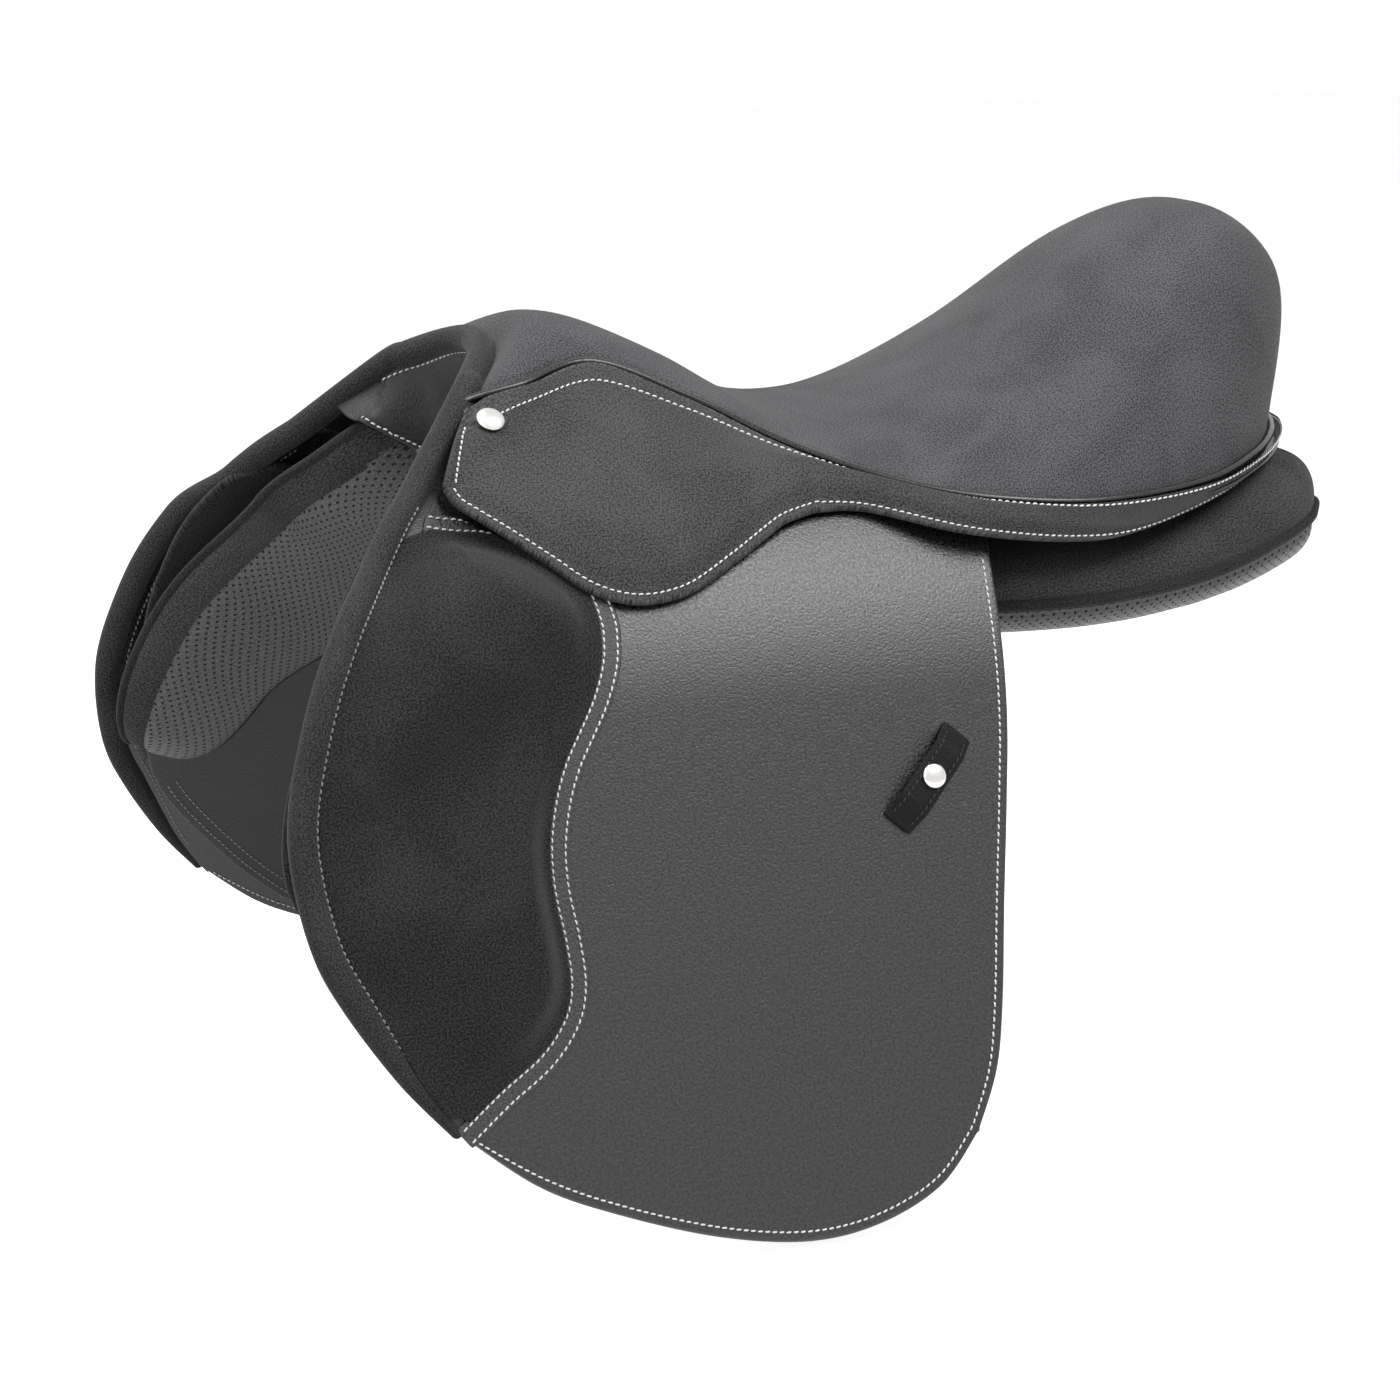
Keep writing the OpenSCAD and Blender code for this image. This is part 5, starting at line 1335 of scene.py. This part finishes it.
# %% Girth straps
STRAP_W, STRAP_T, STRAP_L, STRAP_PIVOT, STRAP_GAP = 25, 4, 172, 8, 4.6
STRAP_IN = -FLAP_OUT - STRAP_GAP - STRAP_T
HOLE_R, HOLE_EDGE, HOLE_PITCH, HOLES = 2.6, 14, 23, 6
STRAP_EDGE = 0.8


def round_outline(middle, radius, start=0, turn=360, n=48):
    """Points of an arc about a middle."""
    a = np.radians(start + turn * np.arange(n) / n)
    return np.asarray(middle) + radius * np.stack([np.cos(a), np.sin(a)], -1)


def cut_leather(outlines, thick):
    """A mesh, in millimetres, cut from thick leather along a closed outline and around its holes."""
    form = bpy.data.curves.new("form", "CURVE")
    form.dimensions = "2D"
    form.fill_mode = "BOTH"
    form.extrude = thick / 2 - STRAP_EDGE
    form.bevel_depth = STRAP_EDGE
    form.bevel_resolution = 3
    for outline in outlines:
        spline = form.splines.new("POLY")
        spline.points.add(len(outline) - 1)
        spline.points.foreach_set("co", np.pad(outline, ((0, 0), (0, 2))).ravel())
        spline.use_cyclic_u = True
    holder = bpy.data.objects.new("form", form)
    mesh = bpy.data.meshes.new_from_object(holder)
    points = np.array([v.co for v in mesh.vertices])
    faces = [tuple(p.vertices) for p in mesh.polygons]
    for data in (holder, form, mesh):
        bpy.data.batch_remove([data])
    return points, faces


half_w, end_s = STRAP_W / 2 - STRAP_EDGE, STRAP_L - STRAP_W / 2
outlines = [np.concatenate([round_outline((0, 0), half_w, 180, 180),
                            round_outline((0, end_s), half_w, 0, 180)])]
for i in range(HOLES):
    place = (0, STRAP_L - HOLE_EDGE - i * HOLE_PITCH)
    outlines.append(round_outline(place, HOLE_R + STRAP_EDGE, n=24))
strap_points, strap_faces = cut_leather(outlines, STRAP_T)
SEW_R, SEW_DOWN = 8.5, 12
turn_q = round_outline((0, 0), SEW_R, 360, -180)
sewn = np.concatenate([[(SEW_R, SEW_DOWN)], turn_q, [(-SEW_R, 0), (-SEW_R, SEW_DOWN)]])
steps = np.linspace(0, 1, 6)[:-1, None]
sewn = np.concatenate([a + steps * (b - a) for a, b in zip(sewn, sewn[1:])])
for name, side in SIDES:
    for end, x in STRAP_X.items():
        node = f"{name}_{end}_girth_strap"
        place = np.array([x, STRAP_PIVOT])
        laid = lay(place + strap_points[:, :2], STRAP_IN + STRAP_T / 2 + strap_points[:, 2])
        strap = make(f"{name}_{end}_strap", on(side, laid), strap_faces, strap_leather, strap_points[:, :2])
        dress(strap, node, "strap_leather", node)
        rows = [sewn_row(side, place + sewn, STRAP_IN + STRAP_T)]
        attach(stitches(f"{name}_{end}_strap_stitches", rows, grey_thread), node)
print("strap", len(strap_points), "vertices")

# %% [markdown]
# ## Pieces kept from CAD
# The tree and its steel are hard-edged things that CAD already shapes well. They keep their meshes and get
# their materials, with a small bevel so that their edges catch light.

# %% Tree and steel
KEPT = {"tree": tree_plastic, "tree_point": tree_plastic, "gullet_plate": bar_steel,
        "gullet_screws": bar_steel, "stirrup_bar": bar_steel, "thumb_catch": bar_steel,
        "catch_pins": bar_steel, "bar_rivets": bar_steel}
EDGE_ROUND = 0.4 * MM
kept = 0
for name, node in frame["nodes"].items():
    kind = name.removeprefix("near_").removeprefix("off_")
    if kind in KEPT:
        node.data.materials.clear()
        node.data.materials.append(KEPT[kind])
        bevel = node.modifiers.new("edge", "BEVEL")
        bevel.width = EDGE_ROUND
        bevel.segments = 2
        bevel.limit_method = "ANGLE"
        kept += 1
print("kept nodes", kept)

# %% [markdown]
# ## Camera, floor and light
# The photo was taken from the near front, a little above the seat, with a long lens. A wide soft light from
# above lies on the tops of the flaps and leaves the lower pad dark. The floor glows for the camera just
# enough to be white, and still takes the shadow.

# %% Camera
AZIMUTH, ELEVATION, DISTANCE = math.radians(-21), math.radians(13), 1.85
TARGET = Vector((-0.036, 0, -0.047))
back = Vector((math.sin(AZIMUTH) * math.cos(ELEVATION), -math.cos(AZIMUTH) * math.cos(ELEVATION),
               math.sin(ELEVATION)))
camera = put("camera", bpy.data.cameras.new("camera"))
camera.data.lens = 98.1
camera.data.sensor_width = 36
camera.location = TARGET + back * DISTANCE
camera.rotation_euler = (-back).to_track_quat("-Z", "Y").to_euler()
bpy.context.scene.camera = camera
print("camera at", [round(c, 3) for c in camera.location])

# %% Floor and light
FLOOR_Z, FLOOR_HALF = -0.2335, 6
WHITE = rgb("#ffffff")


def seen(tree):
    """1 for what the camera sees, also by way of metal and glass, and 0 for light on the object."""
    rays = add(tree, "LightPath").outputs
    value = rays["Is Camera Ray"]
    for kind in ("Is Glossy Ray", "Is Transmission Ray"):
        value = add(tree, "Math", {0: value, 1: rays[kind]}, operation="MAXIMUM").outputs[0]
    return value


corners = [(x * FLOOR_HALF, y * FLOOR_HALF, FLOOR_Z) for x, y in ((-1, -1), (1, -1), (1, 1), (-1, 1))]
floor_mesh = bpy.data.meshes.new("floor")
floor_mesh.from_pydata(corners, [], [(0, 1, 2, 3)])
floor = put("floor", floor_mesh)
white_floor, tree, paint = new_material("white_floor", Base_Color=rgb("#e8e8e8"), Roughness=1,
                                        Specular_IOR_Level=0, Emission_Color=WHITE)
glow = add(tree, "Math", {0: seen(tree), 1: 0.9}, operation="MULTIPLY")
tree.links.new(glow.outputs[0], paint.inputs["Emission Strength"])
floor_mesh.materials.append(white_floor)

world = bpy.data.worlds.new("studio")
bpy.context.scene.world = world
world.use_nodes = True
tree = world.node_tree
sky = tree.nodes["Background"].inputs
strength = add(tree, "MapRange", {"Value": seen(tree), "To Min": 0.1, "To Max": 1.0})
tree.links.new(strength.outputs["Result"], sky["Strength"])
sky["Color"].default_value = WHITE


def soft_light(name, place, aim, size, power):
    """A square soft box that faces a point."""
    light = bpy.data.lights.new(name, "AREA")
    light.size = size
    light.energy = power
    obj = put(name, light)
    obj.location = place
    obj.rotation_euler = (Vector(aim) - Vector(place)).to_track_quat("-Z", "Y").to_euler()


soft_light("top_light", (0.46, -0.9, 1.27), (0.02, -0.13, 0.04), 0.9, 21)
soft_light("back_light", (-0.7, 0.3, 1.5), (0.05, 0, 0.1), 1.2, 22)
soft_light("front_light", (-1.4, -0.8, 0.75), (-0.1, 0.1, 0), 1.0, 8)
bpy.context.scene.view_settings.view_transform = "Standard"
